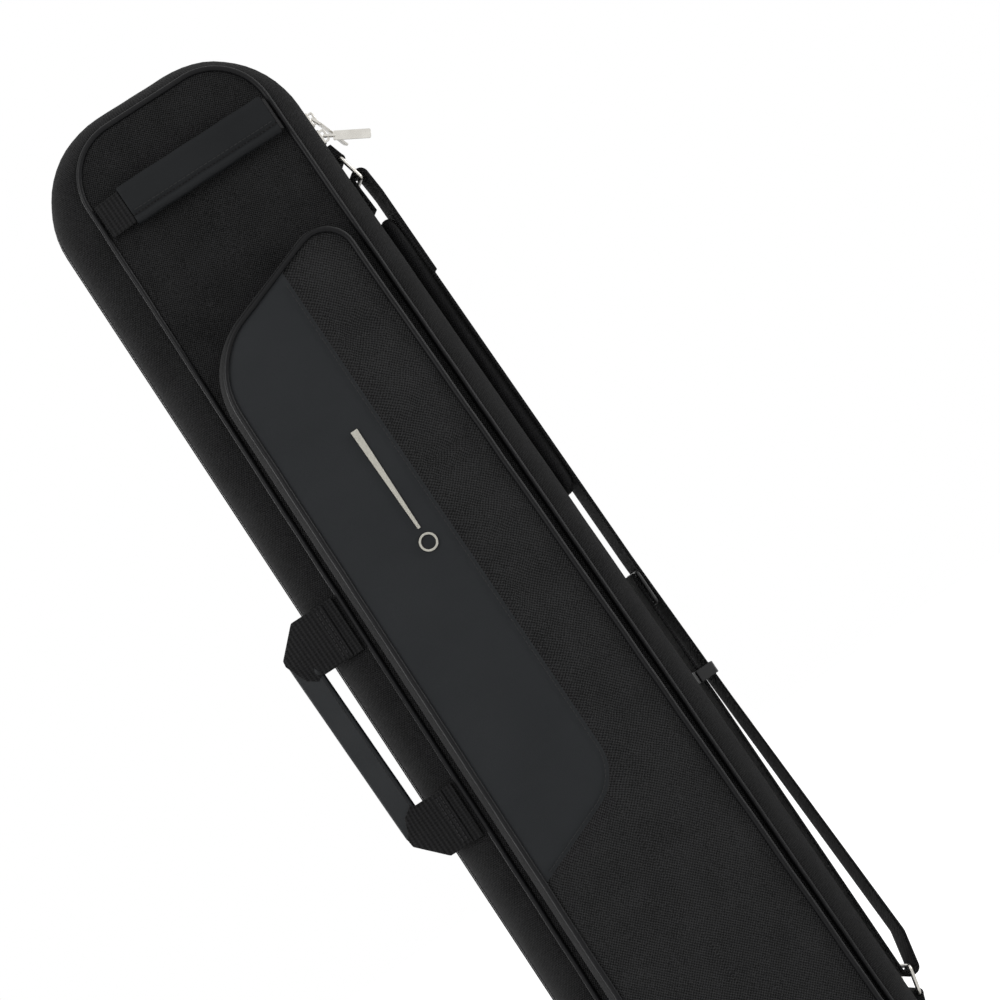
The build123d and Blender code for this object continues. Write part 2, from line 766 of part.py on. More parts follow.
def make_slider(name, plane):
    """Slider on its own plane: x runs along the zip, y across it, z outwards."""
    with BuildPart(plane) as slider:
        with BuildSketch(plane):
            RectangleRounded(slider_length, slider_width, 2.0)
        extrude(amount=slider_height)
        with BuildSketch(Plane(origin=plane.origin, x_dir=plane.x_dir, z_dir=-plane.y_dir)):
            with Locations((0, slider_height + bridge_rise / 2)):
                RectangleRounded(slider_length - 2, bridge_rise + 2 * bridge_wire, 1.2)
                Rectangle(slider_length - 2 - 2 * bridge_wire, bridge_rise, mode=Mode.SUBTRACT)
            with Locations((0, slider_height / 2)):
                Rectangle(slider_length, slider_height, mode=Mode.SUBTRACT)
        extrude(amount=bridge_width / 2, both=True)
    save(slider.part, name)


def make_pull(name, plane, pull_length, pull_width, yaw, on_edge):
    """Pull on its own plane: its bar is at the origin along y, and its two arms lie along x. The tab lies
    flat between the arms and is turned by yaw, or it is on edge and hangs from a bar between their ends."""
    side_plane = Plane(origin=plane.origin, x_dir=plane.x_dir, z_dir=-plane.y_dir)
    arm_y = bridge_width / 2 + gap + pull_bar / 2
    with BuildPart(plane) as pull:
        with BuildSketch(side_plane):
            Circle(pull_bar / 2)
        extrude(amount=arm_y + pull_bar / 2, both=True)
        with BuildSketch(plane):
            for side in (-1, 1):
                with Locations((pull_arm / 2, side * arm_y)):
                    Rectangle(pull_arm, pull_bar)
            if on_edge:
                with Locations((pull_arm, 0)):
                    Rectangle(pull_bar, 2 * arm_y + pull_bar)
            else:
                with Locations(Location((pull_arm - pull_lap, 0, 0), (0, 0, yaw))):
                    RectangleRounded(pull_length, pull_width, pull_corner, align=(Align.MIN, Align.CENTER))
        extrude(amount=pull_thickness / 2, both=True)
        if on_edge:
            with BuildSketch(side_plane):
                with Locations((pull_arm - pull_lap / 2, 0)):
                    RectangleRounded(pull_length, pull_width, pull_corner, align=(Align.MIN, Align.CENTER))
            extrude(amount=pull_thickness / 2, both=True)
    save(pull.part, name)


bridge_height = slider_height + bridge_rise / 2


def slider_and_pull(prefix, plane, angle, pull_length, pull_width, yaw=0.0, on_edge=False):
    """Slider with its pull turned about the bar by `angle` degrees from the slider's x."""
    make_slider(f"{prefix}_slider", plane)
    bar = plane.origin + plane.z_dir * bridge_height
    turned = plane.x_dir * cos(radians(angle)) + plane.z_dir * sin(radians(angle))
    pull_plane = Plane(origin=bar, x_dir=turned, z_dir=turned.cross(plane.y_dir))
    make_pull(f"{prefix}_pull", pull_plane, pull_length, pull_width, yaw, on_edge)


def side_plane(x, depth, z, side_slope):
    """On the right-hand side of the case, with x down along the zip and z outwards."""
    return Plane(origin=(x, depth, z), x_dir=(side_slope, 0, -1), z_dir=(1, 0, side_slope))


seat = gap - tape_recess
slider_and_pull("upper_main", side_plane(rim_x(upper_slider_z) + seat, 0, upper_slider_z, side_lean),
                90 - upper_pull_drop, main_pull_length, main_pull_width, upper_pull_yaw)
slider_and_pull("lower_main", side_plane(rim_x(lower_slider_z) + seat, 0, lower_slider_z, side_lean),
                90 - lower_pull_drop, main_pull_length, main_pull_width, on_edge=True)

pocket_slope = (pocket_base_width - pocket_top_width) / 2 / (pocket_right_height - pocket_low)
pocket_x = pocket_base_width / 2 + pocket_grow - pocket_slope * (pocket_side_slider_z - pocket_low)
slider_and_pull("pocket_side", side_plane(pocket_x + seat, pocket_split, pocket_side_slider_z, pocket_slope),
                pocket_pull_angle, pocket_pull_length, pocket_pull_width)
base_plane = Plane(origin=(pocket_base_slider_x, pocket_split, pocket_low - seat), x_dir=(1, 0, 0), z_dir=(0, 0, -1))
slider_and_pull("pocket_base", base_plane, 0, pocket_pull_length, pocket_pull_width)
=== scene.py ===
"""The looks of a soft cue case: padded shell, piping, zips, webbing and hardware around the fixed frame."""
import copy
import json
import math
import bpy
import bmesh
import numpy as np
from mathutils import Matrix, Vector, geometry, noise


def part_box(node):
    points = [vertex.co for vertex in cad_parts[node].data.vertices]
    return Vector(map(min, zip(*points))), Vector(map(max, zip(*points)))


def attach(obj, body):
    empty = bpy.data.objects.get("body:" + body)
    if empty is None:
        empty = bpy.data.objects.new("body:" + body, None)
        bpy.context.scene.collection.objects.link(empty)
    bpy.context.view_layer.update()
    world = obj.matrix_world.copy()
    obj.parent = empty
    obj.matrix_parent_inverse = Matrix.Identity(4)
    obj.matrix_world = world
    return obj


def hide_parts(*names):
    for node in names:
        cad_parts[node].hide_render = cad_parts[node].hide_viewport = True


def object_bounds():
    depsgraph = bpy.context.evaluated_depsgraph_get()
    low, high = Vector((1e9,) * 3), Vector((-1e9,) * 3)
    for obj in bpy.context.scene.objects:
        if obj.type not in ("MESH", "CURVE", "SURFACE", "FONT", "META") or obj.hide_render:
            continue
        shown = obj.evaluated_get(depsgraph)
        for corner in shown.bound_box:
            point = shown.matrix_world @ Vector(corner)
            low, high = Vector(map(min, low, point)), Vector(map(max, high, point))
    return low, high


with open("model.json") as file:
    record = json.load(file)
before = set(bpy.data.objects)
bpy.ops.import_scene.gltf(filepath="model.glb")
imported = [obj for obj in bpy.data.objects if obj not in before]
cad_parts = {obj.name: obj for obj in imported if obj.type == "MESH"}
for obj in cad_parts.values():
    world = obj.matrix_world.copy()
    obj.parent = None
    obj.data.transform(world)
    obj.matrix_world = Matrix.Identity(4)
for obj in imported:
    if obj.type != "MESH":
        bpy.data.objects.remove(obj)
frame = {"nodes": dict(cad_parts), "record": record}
cad_low, cad_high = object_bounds()
record = frame["record"]

MM = 0.001
SEAM_DEPTH = sum(end[1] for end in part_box("hinge_strip")[:2]) / 2    # where the two halves meet
SEGMENTS = 8                    # an outline's four sides and four corners


# ---------------------------------------------------------------- outlines of the shell
class Outline:
    """Round-cornered four-sided outline at one depth, in x and z. Along it u runs from 0 to 8: even numbers
    start sides and odd ones corners, from the base's left end round by the right-hand side."""

    def __init__(self, depth, base, top, low, high, radii, shift=0.0, high_left=None):
        high_left = high if high_left is None else high_left
        places = ((-base / 2, low), (base / 2, low), (shift + top / 2, high), (shift - top / 2, high_left))
        points = [Vector(p) for p in places]
        self.depth = depth
        starts, ends = [None] * 4, [None] * 4
        self.corners = []
        for i in range(4):
            point, after, before = points[(i + 1) % 4], points[(i + 2) % 4], points[i]
            a, b = (point - before).normalized(), (after - point).normalized()
            turn = math.atan2(a.x * b.y - a.y * b.x, a.dot(b))
            cut = radii[i] * math.tan(turn / 2)
            ends[i], starts[(i + 1) % 4] = point - a * cut, point + b * cut
            outward = Vector((a.y, -a.x))
            self.corners.append((ends[i] - outward * radii[i], radii[i], math.atan2(outward.y, outward.x), turn))
        self.sides = list(zip(starts, ends))

    def at(self, u, inset=0.0):
        """Places and outward directions, as rows of (x, z)."""
        places, outs = [], []
        for value in np.atleast_1d(np.asarray(u, float)) % SEGMENTS:
            index, share = int(value) // 2, value - int(value)
            if int(value) % 2 == 0:
                start, end = self.sides[index]
                along = (end - start).normalized()
                out = Vector((along.y, -along.x))
                place = start.lerp(end, share) - out * inset
            else:
                centre, radius, angle, turn = self.corners[index]
                angle += turn * share
                out = Vector((math.cos(angle), math.sin(angle)))
                place = centre + out * (radius - inset)
            places.append(place)
            outs.append(out)
        return np.array(places), np.array(outs)

    def even(self, step, u_from=0.0, u_to=SEGMENTS, inset=0.0):
        """Values of u that are evenly spaced along the outline, both ends included."""
        fine = np.linspace(u_from, u_to - 1e-9, 2400)
        places, _ = self.at(fine, inset)
        run = np.concatenate([[0], np.cumsum(np.linalg.norm(np.diff(places, axis=0), axis=1))])
        count = max(2, int(round(run[-1] / step)) + 1)
        return np.interp(np.linspace(0, run[-1], count), run, fine)

    def right_u(self, z):
        """Value of u on the right-hand side at height z."""
        start, end = self.sides[1]
        return 2 + (z - start.y) / (end.y - start.y)

    def moved(self, depth):
        """The same outline at another depth."""
        other = copy.copy(self)
        other.depth = depth
        return other


def ring_steps(side_steps=(14, 90, 12, 90), corner_steps=14):
    """Shared values of u for lofts between outlines."""
    values = []
    for i, steps in enumerate(side_steps):
        values += list(2 * i + np.arange(steps) / steps)
        values += list(2 * i + 1 + np.arange(corner_steps) / corner_steps)
    return np.array(values)


def solid(places, depth):
    """Rows of (x, z) and a depth made into rows of (x, y, z)."""
    depth = np.broadcast_to(depth, (len(places),))
    return np.column_stack([places[:, 0], depth, places[:, 1]])


# ---------------------------------------------------------------- making pieces
SHARP_ANGLE = math.radians(42)


def placed(name, data):
    """A new object for a mesh, light or camera, put into the scene."""
    made = bpy.data.objects.new(name, data)
    bpy.context.collection.objects.link(made)
    return made


def smooth(mesh):
    mesh.polygons.foreach_set("use_smooth", [True] * len(mesh.polygons))


def make_piece(name, verts, faces, body, material, slot, replaces=()):
    """Visible piece from points and faces, riding a body and standing for CAD nodes."""
    mesh = bpy.data.meshes.new(name)
    mesh.from_pydata([tuple(v) for v in verts], [], [tuple(int(i) for i in f) for f in faces])
    mesh.validate()
    mesh.materials.append(material)
    piece = placed(name, mesh)
    bm = bmesh.new()
    bm.from_mesh(mesh)
    bmesh.ops.recalc_face_normals(bm, faces=bm.faces)
    bm.to_mesh(mesh)
    bm.free()
    smooth(mesh)
    mesh.set_sharp_from_angle(angle=SHARP_ANGLE)
    register(piece, body, replaces)
    return piece


def register(piece, body, replaces=()):
    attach(piece, body)
    if replaces:
        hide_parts(*replaces)


def loft(rings, close_rows=True, close_ring=True):
    """Quads over a list of rings. Rows that close over open rings get end caps."""
    rows, count = len(rings), len(rings[0])
    faces = []
    for r in range(rows if close_rows else rows - 1):
        a, b = r * count, ((r + 1) % rows) * count
        for c in range(count if close_ring else count - 1):
            d = (c + 1) % count
            faces.append((a + c, a + d, b + d, b + c))
    if close_rows and not close_ring:
        faces.append([r * count for r in range(rows)])
        faces.append([r * count + count - 1 for r in reversed(range(rows))])
    return np.concatenate(rings), faces


def capped(rings):
    """Loft along a run of closed rings, with a face at each end."""
    verts, faces = loft(rings, close_rows=False)
    count = len(rings[0])
    return verts, faces + [list(range(count)), list(range(len(verts) - count, len(verts)))]


def apply_modifiers(piece):
    """Make what the modifiers show the piece's own mesh."""
    graph = bpy.context.evaluated_depsgraph_get()
    made = bpy.data.meshes.new_from_object(piece.evaluated_get(graph))
    piece.modifiers.clear()
    piece.data = made


def refined(node, body, material, bevel, segments, angle=30):
    """A copy of a CAD node's shape with its faces cleaned and its edges rounded."""
    mesh = frame["nodes"][node].data.copy()
    bm = bmesh.new()
    bm.from_mesh(mesh)
    bmesh.ops.remove_doubles(bm, verts=bm.verts, dist=1e-6)
    bmesh.ops.dissolve_limit(bm, angle_limit=math.radians(1), verts=bm.verts, edges=bm.edges)
    bmesh.ops.recalc_face_normals(bm, faces=bm.faces)
    bm.to_mesh(mesh)
    bm.free()
    mesh.materials.clear()
    mesh.materials.append(material)
    if mesh.has_custom_normals:
        mesh.attributes.remove(mesh.attributes["custom_normal"])
    piece = placed(f"{node}_shown", mesh)
    rounding = piece.modifiers.new("rounding", "BEVEL")
    rounding.width = bevel
    rounding.segments = segments
    rounding.limit_method = "ANGLE"
    rounding.angle_limit = math.radians(angle)
    rounding.harden_normals = False
    apply_modifiers(piece)
    smooth(piece.data)
    sharpen = piece.modifiers.new("even_normals", "WEIGHTED_NORMAL")
    sharpen.keep_sharp = True
    apply_modifiers(piece)
    register(piece, body, [node])


# ---------------------------------------------------------------- materials
class Nodes:
    """Short calls for building one material's nodes."""

    def __init__(self, name):
        self.material = bpy.data.materials.new(name)
        self.material.use_nodes = True
        self.tree = self.material.node_tree
        self.shader = self.tree.nodes["Principled BSDF"]
        self.place = self.node("TexCoord").outputs["Object"]
        split = self.node("SeparateXYZ", Vector=self.place)
        self.x, self.y, self.z = split.outputs

    def node(self, kind, **inputs):
        """New node with values or links on the named inputs."""
        made = self.tree.nodes.new("ShaderNode" + kind)
        for key, value in inputs.items():
            self.feed(made.inputs[key.replace("_", " ")], value)
        return made

    def feed(self, socket, value):
        if isinstance(value, bpy.types.NodeSocket):
            self.tree.links.new(value, socket)
        else:
            socket.default_value = value

    def math(self, operation, a, b=0.0):
        node = self.node("Math")
        node.operation = operation
        self.feed(node.inputs[0], a)
        self.feed(node.inputs[1], b)
        return node.outputs[0]

    def wave(self, value, pitch):
        """Sine of a length, one turn for each pitch."""
        return self.math("SINE", self.math("MULTIPLY", value, 2 * math.pi / pitch))

    def noise(self, scale, detail=3.0, roughness=0.55):
        return self.node("TexNoise", Scale=scale, Detail=detail, Roughness=roughness, Vector=self.place).outputs["Fac"]

    def cells(self, scale):
        """Distance to the edges of small cells."""
        node = self.node("TexVoronoi", Vector=self.place)
        node.feature = "DISTANCE_TO_EDGE"
        node.inputs["Scale"].default_value = scale
        return node.outputs["Distance"]

    def ramp(self, value, low, high, from_low=0.0, from_high=1.0):
        node = self.node("MapRange", From_Min=from_low, From_Max=from_high, To_Min=low, To_Max=high, Value=value)
        return node.outputs[0]

    def colour(self, share, dark, light):
        node = self.node("Mix")
        node.data_type = "RGBA"
        self.feed(node.inputs["Factor"], share)
        node.inputs[6].default_value = (*dark, 1)
        node.inputs[7].default_value = (*light, 1)
        self.feed(self.shader.inputs["Base Color"], node.outputs[2])

    def rough(self, value):
        self.feed(self.shader.inputs["Roughness"], value)

    def bump(self, heights):
        """Stacked bumps: each is (height, distance in metres, strength)."""
        normal = None
        for height, distance, strength in heights:
            node = self.node("Bump", Distance=distance, Strength=strength, Height=height)
            if normal is not None:
                self.feed(node.inputs["Normal"], normal)
            normal = node.outputs["Normal"]
        self.feed(self.shader.inputs["Normal"], normal)

    def plain(self, **values):
        """Numbers that are the same all over, set on the shader's own sockets."""
        for key, value in values.items():
            self.shader.inputs[key.replace("_", " ")].default_value = value


def woven(name, dark, light, pitch, depth=0.25 * MM, roughness=0.86, specular=0.16):
    """Plain-woven cloth: threads over and under each other, in the surface's own directions."""
    n = Nodes(name)
    # Around the case's rounded sides, this length grows along the cloth on both halves.
    from_seam = n.math("ABSOLUTE", n.math("SUBTRACT", n.y, SEAM_DEPTH))
    across = n.wave(n.math("SUBTRACT", n.math("ABSOLUTE", n.x), from_seam), pitch)
    up = n.wave(n.z, pitch)
    weave = n.math("MULTIPLY", across, up)
    fine = n.noise(1500, 3, 0.7)
    slow = n.noise(40.0, 3)
    specks = n.ramp(fine, -0.5, 0.7, 0.3, 0.7)
    share = n.math("ADD", n.ramp(weave, -0.2, 0.95, -1, 1), n.math("ADD", specks, n.ramp(slow, -0.12, 0.12, 0.3, 0.7)))
    n.colour(share, dark, light)
    n.rough(n.ramp(slow, roughness - 0.06, roughness + 0.06))
    n.bump([(weave, depth, 0.8), (fine, 0.15 * MM, 0.5), (slow, 0.6 * MM, 0.15)])
    n.plain(Specular_IOR_Level=specular, Sheen_Weight=0.05, Sheen_Roughness=0.5)
    return n.material


def ribbed(name, dark, light, run, pitch, specular=0.1):
    """Webbing or tape that runs along x or z: close ribs across its run, with a fine break along them."""
    n = Nodes(name)
    along, aside = (n.x, n.z) if run == "x" else (n.z, n.x)
    length = n.math("ADD", along, n.math("MULTIPLY", n.y, 0.35))
    others = n.math("ADD", n.y, aside)
    ribs = n.wave(length, pitch)
    breaks = n.wave(n.math("ADD", others, n.math("MULTIPLY", length, 0.5)), pitch * 0.8)
    twill = n.math("ADD", n.math("MULTIPLY", ribs, 0.7), n.math("MULTIPLY", breaks, 0.3))
    fine = n.noise(1700, 3, 0.7)
    share = n.math("ADD", n.ramp(twill, 0.0, 0.6, -1, 1), n.ramp(fine, -0.15, 0.5, 0.3, 0.7))
    n.colour(share, dark, light)
    n.rough(n.ramp(fine, 0.7, 0.9))
    n.bump([(twill, 0.4 * MM, 0.8), (fine, 0.12 * MM, 0.4)])
    n.plain(Specular_IOR_Level=specular, Sheen_Weight=0.03, Sheen_Roughness=0.5)
    return n.material


def leather(name, dark, light, grain=1500.0, roughness=0.5, specular=0.35):
    """Leatherette: fine pebbled grain, with slow changes of tone."""
    n = Nodes(name)
    pebbles = n.cells(grain)
    fine = n.noise(3200, 2)
    slow = n.noise(14, 3)
    n.colour(n.math("ADD", n.ramp(slow, 0.1, 0.7, 0.3, 0.7), n.ramp(pebbles, -0.25, 0.1, 0, 0.15)), dark, light)
    n.rough(n.ramp(n.math("ADD", slow, n.math("MULTIPLY", fine, 0.4)), roughness - 0.07, roughness + 0.12, 0.4, 1.0))
    n.bump([(pebbles, 0.12 * MM, 0.55), (fine, 0.06 * MM, 0.35)])
    n.plain(Specular_IOR_Level=specular)
    return n.material


def coated_cord(name):
    """Piping: vinyl-faced cord with a fine grain and a soft gloss."""
    n = Nodes(name)
    fine = n.noise(1800, 3)
    slow = n.noise(30, 2)
    n.colour(slow, (0.003, 0.003, 0.0034), (0.0065, 0.0065, 0.0072))
    n.rough(n.ramp(fine, 0.3, 0.46, 0.3, 0.7))
    n.bump([(fine, 0.08 * MM, 0.5)])
    n.plain(Specular_IOR_Level=0.16)
    return n.material


def moulded(name, level, roughness):
    """Black plastic or thread, by its brightness and roughness."""
    n = Nodes(name)
    fine = n.noise(900, 2)
    n.colour(fine, (level * 0.8,) * 3, (level * 1.3, level * 1.3, level * 1.4))
    n.rough(n.ramp(fine, roughness - 0.05, roughness + 0.08))
    n.bump([(fine, 0.05 * MM, 0.3)])
    n.plain(Specular_IOR_Level=0.4)
    return n.material


def nickel(name):
    """Satin nickel."""
    n = Nodes(name)
    fine = n.noise(1400, 3)
    slow = n.noise(120, 2)
    n.colour(slow, (0.55, 0.53, 0.49), (0.78, 0.76, 0.71))
    n.rough(n.ramp(fine, 0.2, 0.36, 0.3, 0.7))
    n.bump([(fine, 0.03 * MM, 0.25)])
    n.plain(Metallic=1.0)
    return n.material


def embroidery(name):
    """Close rows of light thread."""
    n = Nodes(name)
    threads = n.wave(n.math("ADD", n.z, n.math("MULTIPLY", n.x, 0.25)), 0.55 * MM)
    fine = n.noise(1800, 2)
    n.colour(n.ramp(threads, 0.2, 1.0, -1, 1), (0.36, 0.345, 0.3), (0.72, 0.7, 0.62))
    n.rough(n.ramp(fine, 0.45, 0.65))
    n.bump([(threads, 0.2 * MM, 0.8), (fine, 0.05 * MM, 0.4)])
    n.plain(Specular_IOR_Level=0.35, Sheen_Weight=0.1)
    return n.material


def netting(name):
    """Open mesh: a net of threads, drawn by its bumps and colour."""
    n = Nodes(name)
    net = n.math("MAXIMUM", n.wave(n.math("ADD", n.x, n.z), 3.2 * MM), n.wave(n.math("SUBTRACT", n.x, n.z), 3.2 * MM))
    n.colour(n.ramp(net, 0.0, 1.0, 0.2, 0.9), (0.002, 0.002, 0.002), (0.03, 0.03, 0.032))
    n.rough(0.8)
    n.bump([(net, 0.6 * MM, 0.9)])
    n.plain(Specular_IOR_Level=0.2)
    return n.material


def flocked(name):
    """Foam with a short nap."""
    n = Nodes(name)
    fine = n.noise(1500, 4, 0.7)
    slow = n.noise(18, 2)
    n.colour(n.math("MULTIPLY", fine, n.ramp(slow, 0.7, 1.3)), (0.006, 0.006, 0.008), (0.035, 0.035, 0.042))
    n.rough(0.95)
    n.bump([(fine, 0.35 * MM, 0.6)])
    n.plain(Specular_IOR_Level=0.08, Sheen_Weight=0.35, Sheen_Roughness=0.4)
    return n.material


NEAR_BLACK = (0.0006,) * 3
NYLON = woven("nylon_shell", NEAR_BLACK, (0.023, 0.023, 0.0236), 1.8 * MM, depth=0.3 * MM, specular=0.07)
BALLISTIC = woven("nylon_ballistic", NEAR_BLACK, (0.026, 0.0261, 0.0268), 2.2 * MM, depth=0.4 * MM, roughness=0.72,
                  specular=0.11)
LEATHER = leather("leatherette", (0.0125, 0.0138, 0.0152), (0.0185, 0.02, 0.0218), specular=0.14)
WRAP_LEATHER = leather("leatherette_wrap", (0.0065, 0.0072, 0.008), (0.0105, 0.0115, 0.0125), grain=1100.0,
                       roughness=0.5, specular=0.14)
GRIP_LEATHER = leather("leatherette_grip", (0.011, 0.0122, 0.0135), (0.017, 0.0186, 0.02), grain=1100.0,
                       roughness=0.45, specular=0.16)
PIPING = coated_cord("piping_vinyl")
TAPE = ribbed("zip_tape_weave", (0.0022, 0.0022, 0.0023), (0.0125, 0.0125, 0.013), "z", 1.1 * MM, specular=0.08)
COIL = moulded("zip_coil_nylon", 0.013, 0.38)
WEBBING = ribbed("webbing_weave", (0.001, 0.001, 0.0011), (0.018, 0.018, 0.0186), "z", 1.9 * MM)
WEBBING_ACROSS = ribbed("webbing_weave_across", (0.001, 0.001, 0.0011), (0.019, 0.019, 0.0196), "x", 2.3 * MM)
PAD = woven("pad_cloth", (0.0015, 0.0015, 0.0016), (0.017, 0.017, 0.0178), 1.4 * MM, specular=0.08)
NET = netting("mesh_net")
FLOCK = flocked("flocked_foam")
NICKEL = nickel("satin_nickel")
BUCKLE = moulded("moulded_buckle", 0.008, 0.4)
THREAD = embroidery("embroidery_thread")
STITCH = moulded("stitch_thread", 0.012, 0.7)
SEAM_THREAD = moulded("seam_thread", 0.008, 0.7)

SLOT_MATERIALS = {
    "nylon": NYLON, "ballistic": BALLISTIC, "leatherette": LEATHER, "piping": PIPING, "zip_tape": TAPE,
    "coil": COIL, "foam": FLOCK, "webbing": WEBBING, "pad_cloth": PAD, "mesh": NET, "nickel": NICKEL,
    "moulded": BUCKLE, "thread": THREAD,
}
for part in record["subparts"]:
    for material_slot in frame["nodes"][part["node"]].material_slots:
        material_slot.material = SLOT_MATERIALS[part["material_slot"]]


# ---------------------------------------------------------------- the shell's sizes
def box_y(node):
    """Front and back depth of a node."""
    low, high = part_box(node)
    return low[1], high[1]


zip_y = SEAM_DEPTH
lid_front, lid_root = box_y("front_gusset")
back_root, back_back = box_y("back_gusset")
panel_front = box_y("front_panel")[0]
back_panel_y = box_y("back_panel")[1]
pocket_front, pocket_root = box_y("pocket_gusset")
pocket_zip_front, pocket_zip_back = box_y("pocket_hinge_strip")
pocket_split = (pocket_zip_front + pocket_zip_back) / 2
cord_front, cord_back = box_y("front_piping")
piping_width = cord_back - cord_front
piping_radius = piping_width / 2
case_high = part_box("back_gusset")[1][2]
BEND_RUN = 9 * MM               # from a gusset's bend to the panel's edge

RIM = dict(base=0.192, top=0.173, low=0.0, high=case_high, radii=[0.05, 0.062, 0.062, 0.05])
BEND = dict(base=0.182, top=0.163, low=0.0, high=case_high - 2.5 * MM, radii=[0.045, 0.057, 0.057, 0.045])
lid_rim = Outline(lid_root, **RIM)
lid_bend = Outline(lid_front + BEND_RUN, **BEND)
lid_edge = Outline(lid_front, 0.160, 0.135, 0.003, case_high - 0.0085, [0.032, 0.040, 0.040, 0.032], shift=0.004)
back_rim = Outline(back_root, **RIM)
back_bend = Outline(back_back - BEND_RUN, **BEND)
back_edge = Outline(back_back, 0.168, 0.149, 0.003, case_high - 0.009, [0.038, 0.046, 0.046, 0.038])
POCKET_RADII = [0.030, 0.021, 0.054, 0.030]
pocket_edge = Outline(pocket_front, 0.142, 0.1205, 0.007, 0.707, POCKET_RADII, high_left=0.664)
pocket_base = Outline(pocket_root, 0.144, 0.1225, 0.007, 0.708, POCKET_RADII, high_left=0.665)
STEPS = ring_steps()


def softness(points, amount, scale, seed):
    """Slow uneven offsets, so that cloth isn't ruler-straight."""
    shift = Vector((seed * 13.7, seed * 7.1, seed * 3.3))
    return np.array([noise.noise(Vector(p) * scale + shift) * amount for p in points])


def gusset(name, rim, bend, edge, wall, body, node, seed):
    """Padded band from the zip to the panel's edge, rounded over and a little uneven."""
    turns = np.linspace(0, 1, 13)
    rows = []
    for inset, order in ((0.0, turns), (wall, turns[::-2])):
        ends = [solid(outline.at(STEPS, inset)[0], outline.depth) for outline in (rim, bend, edge)]
        outs = solid(bend.at(STEPS)[1], 0.0)
        control = 2 * ends[1] - 0.5 * (ends[0] + ends[2])
        for t in order:
            row = (1 - t) ** 2 * ends[0] + 2 * t * (1 - t) * control + t ** 2 * ends[2]
            if inset == 0:
                swell = math.sin(math.pi * t) ** 0.8
                uneven = softness(row, 0.9 * MM, 22, seed) + softness(row, 0.35 * MM, 70, seed + 1)
                row = row + outs * (uneven * swell - 0.3 * MM * (1 - swell))[:, None]
            rows.append(row)
    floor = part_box(node)[0][2]
    for row in rows:
        row[:, 2] = np.maximum(row[:, 2], floor)
    make_piece(name, *loft(rows), body, NYLON, "nylon", [node])


def tube(name, outline, inset, depth, radius, body, node, seed):
    """Round cord along an outline, with the slight unevenness of sewn piping."""
    u = outline.even(4 * MM, inset=inset)[:-1]
    places, outs = outline.at(u, inset)
    centre = solid(places, depth)
    out = solid(outs, 0.0)
    front = np.array([0.0, -1.0, 0.0])
    centre = centre + out * softness(centre, 0.25 * MM, 40, seed)[:, None]
    turns = [2 * math.pi * k / 14 for k in range(14)]
    rings = [centre + radius * (out * math.cos(turn) + front * math.sin(turn)) for turn in turns]
    make_piece(name, *loft(rings), body, PIPING, "piping", [node])


# ---------------------------------------------------------------- sewn panels
def spread_points(border, spacing, low, high):
    """Points inside a border on an offset grid, clear of its edge."""
    inside = []
    row, z = 0, low[1]
    while z < high[1]:
        x = low[0] + (spacing / 2 if row % 2 else 0)
        while x < high[0]:
            point = Vector((x, z))
            if inside_of(point, border) and nearest(point, border) > 0.55 * spacing:
                inside.append(point)
            x += spacing
        z += spacing * 0.866
        row += 1
    return inside


def inside_of(point, border):
    """Whether a point is inside a closed line of points."""
    crossed = False
    for a, b in zip(border, border[1:] + border[:1]):
        if (a.y > point.y) != (b.y > point.y):
            if point.x < a.x + (point.y - a.y) / (b.y - a.y) * (b.x - a.x):
                crossed = not crossed
    return crossed


def nearest(point, line):
    """Gap from a point to the nearest of a line's points."""
    places = np.array([tuple(p) for p in line])
    return float(np.min(np.hypot(places[:, 0] - point.x, places[:, 1] - point.y)))


def panel_sheet(border, spacing, seam=(), ends=()):
    """Triangles that fill a border, with a seam's edges among them. Returns points and triangles."""
    border = [Vector(p) for p in border]
    low = (min(p.x for p in border), min(p.y for p in border))
    high = (max(p.x for p in border), max(p.y for p in border))
    inner = spread_points(border, spacing, low, high)
    if seam:
        inner = [p for p in inner if nearest(p, seam) > 0.5 * spacing]
    points = border + list(seam) + inner
    count = len(border)
    edges = [(i, (i + 1) % count) for i in range(count)]
    edges += [(count + i, count + i + 1) for i in range(len(seam) - 1)]
    if ends:
        edges += [(border.index(ends[0]), count), (count + len(seam) - 1, border.index(ends[1]))]
    found = geometry.delaunay_2d_cdt(points, edges, [list(range(count))], 1, 1e-7)
    return [tuple(p) for p in found[0]], [tuple(f) for f in found[2]]


def run_cloth(frames):
    """Step the simulation up to a frame."""
    for step in range(1, frames + 1):
        bpy.context.scene.frame_set(step)


def puffed(name, points, triangles, pinned, depth, rise, slack, facing):
    """Cloth held at its pinned points that swells outwards. Returns each point's rise, from 0 to about `rise`."""
    mesh = bpy.data.meshes.new(name)
    mesh.from_pydata([(x, depth, z) for x, z in points], [], triangles)
    sheet = placed(name, mesh)
    group = sheet.vertex_groups.new(name="held")
    for index, weight in enumerate(pinned):
        if weight > 0:
            group.add([index], weight, "REPLACE")
    cloth = sheet.modifiers.new("cloth", "CLOTH")
    settings = cloth.settings
    settings.quality = 5
    settings.mass = 0.12
    settings.tension_stiffness = 12
    settings.compression_stiffness = 12
    settings.shear_stiffness = 6
    settings.bending_stiffness = 1.2
    settings.vertex_group_mass = "held"
    settings.shrink_min = -slack
    cloth.collision_settings.use_collision = False
    scene = bpy.context.scene
    scene.gravity = (0, facing * 9.81, 0)
    run_cloth(20)
    graph = bpy.context.evaluated_depsgraph_get()
    moved = sheet.evaluated_get(graph).data
    swell = np.array([(v.co.y - depth) * facing for v in moved.vertices])
    bpy.data.objects.remove(sheet)
    scene.frame_set(1)
    scene.gravity = (0, 0, -9.81)
    top = max(np.percentile(swell, 97), 1e-6)
    return np.clip(swell / top, -0.2, 1.15) * rise


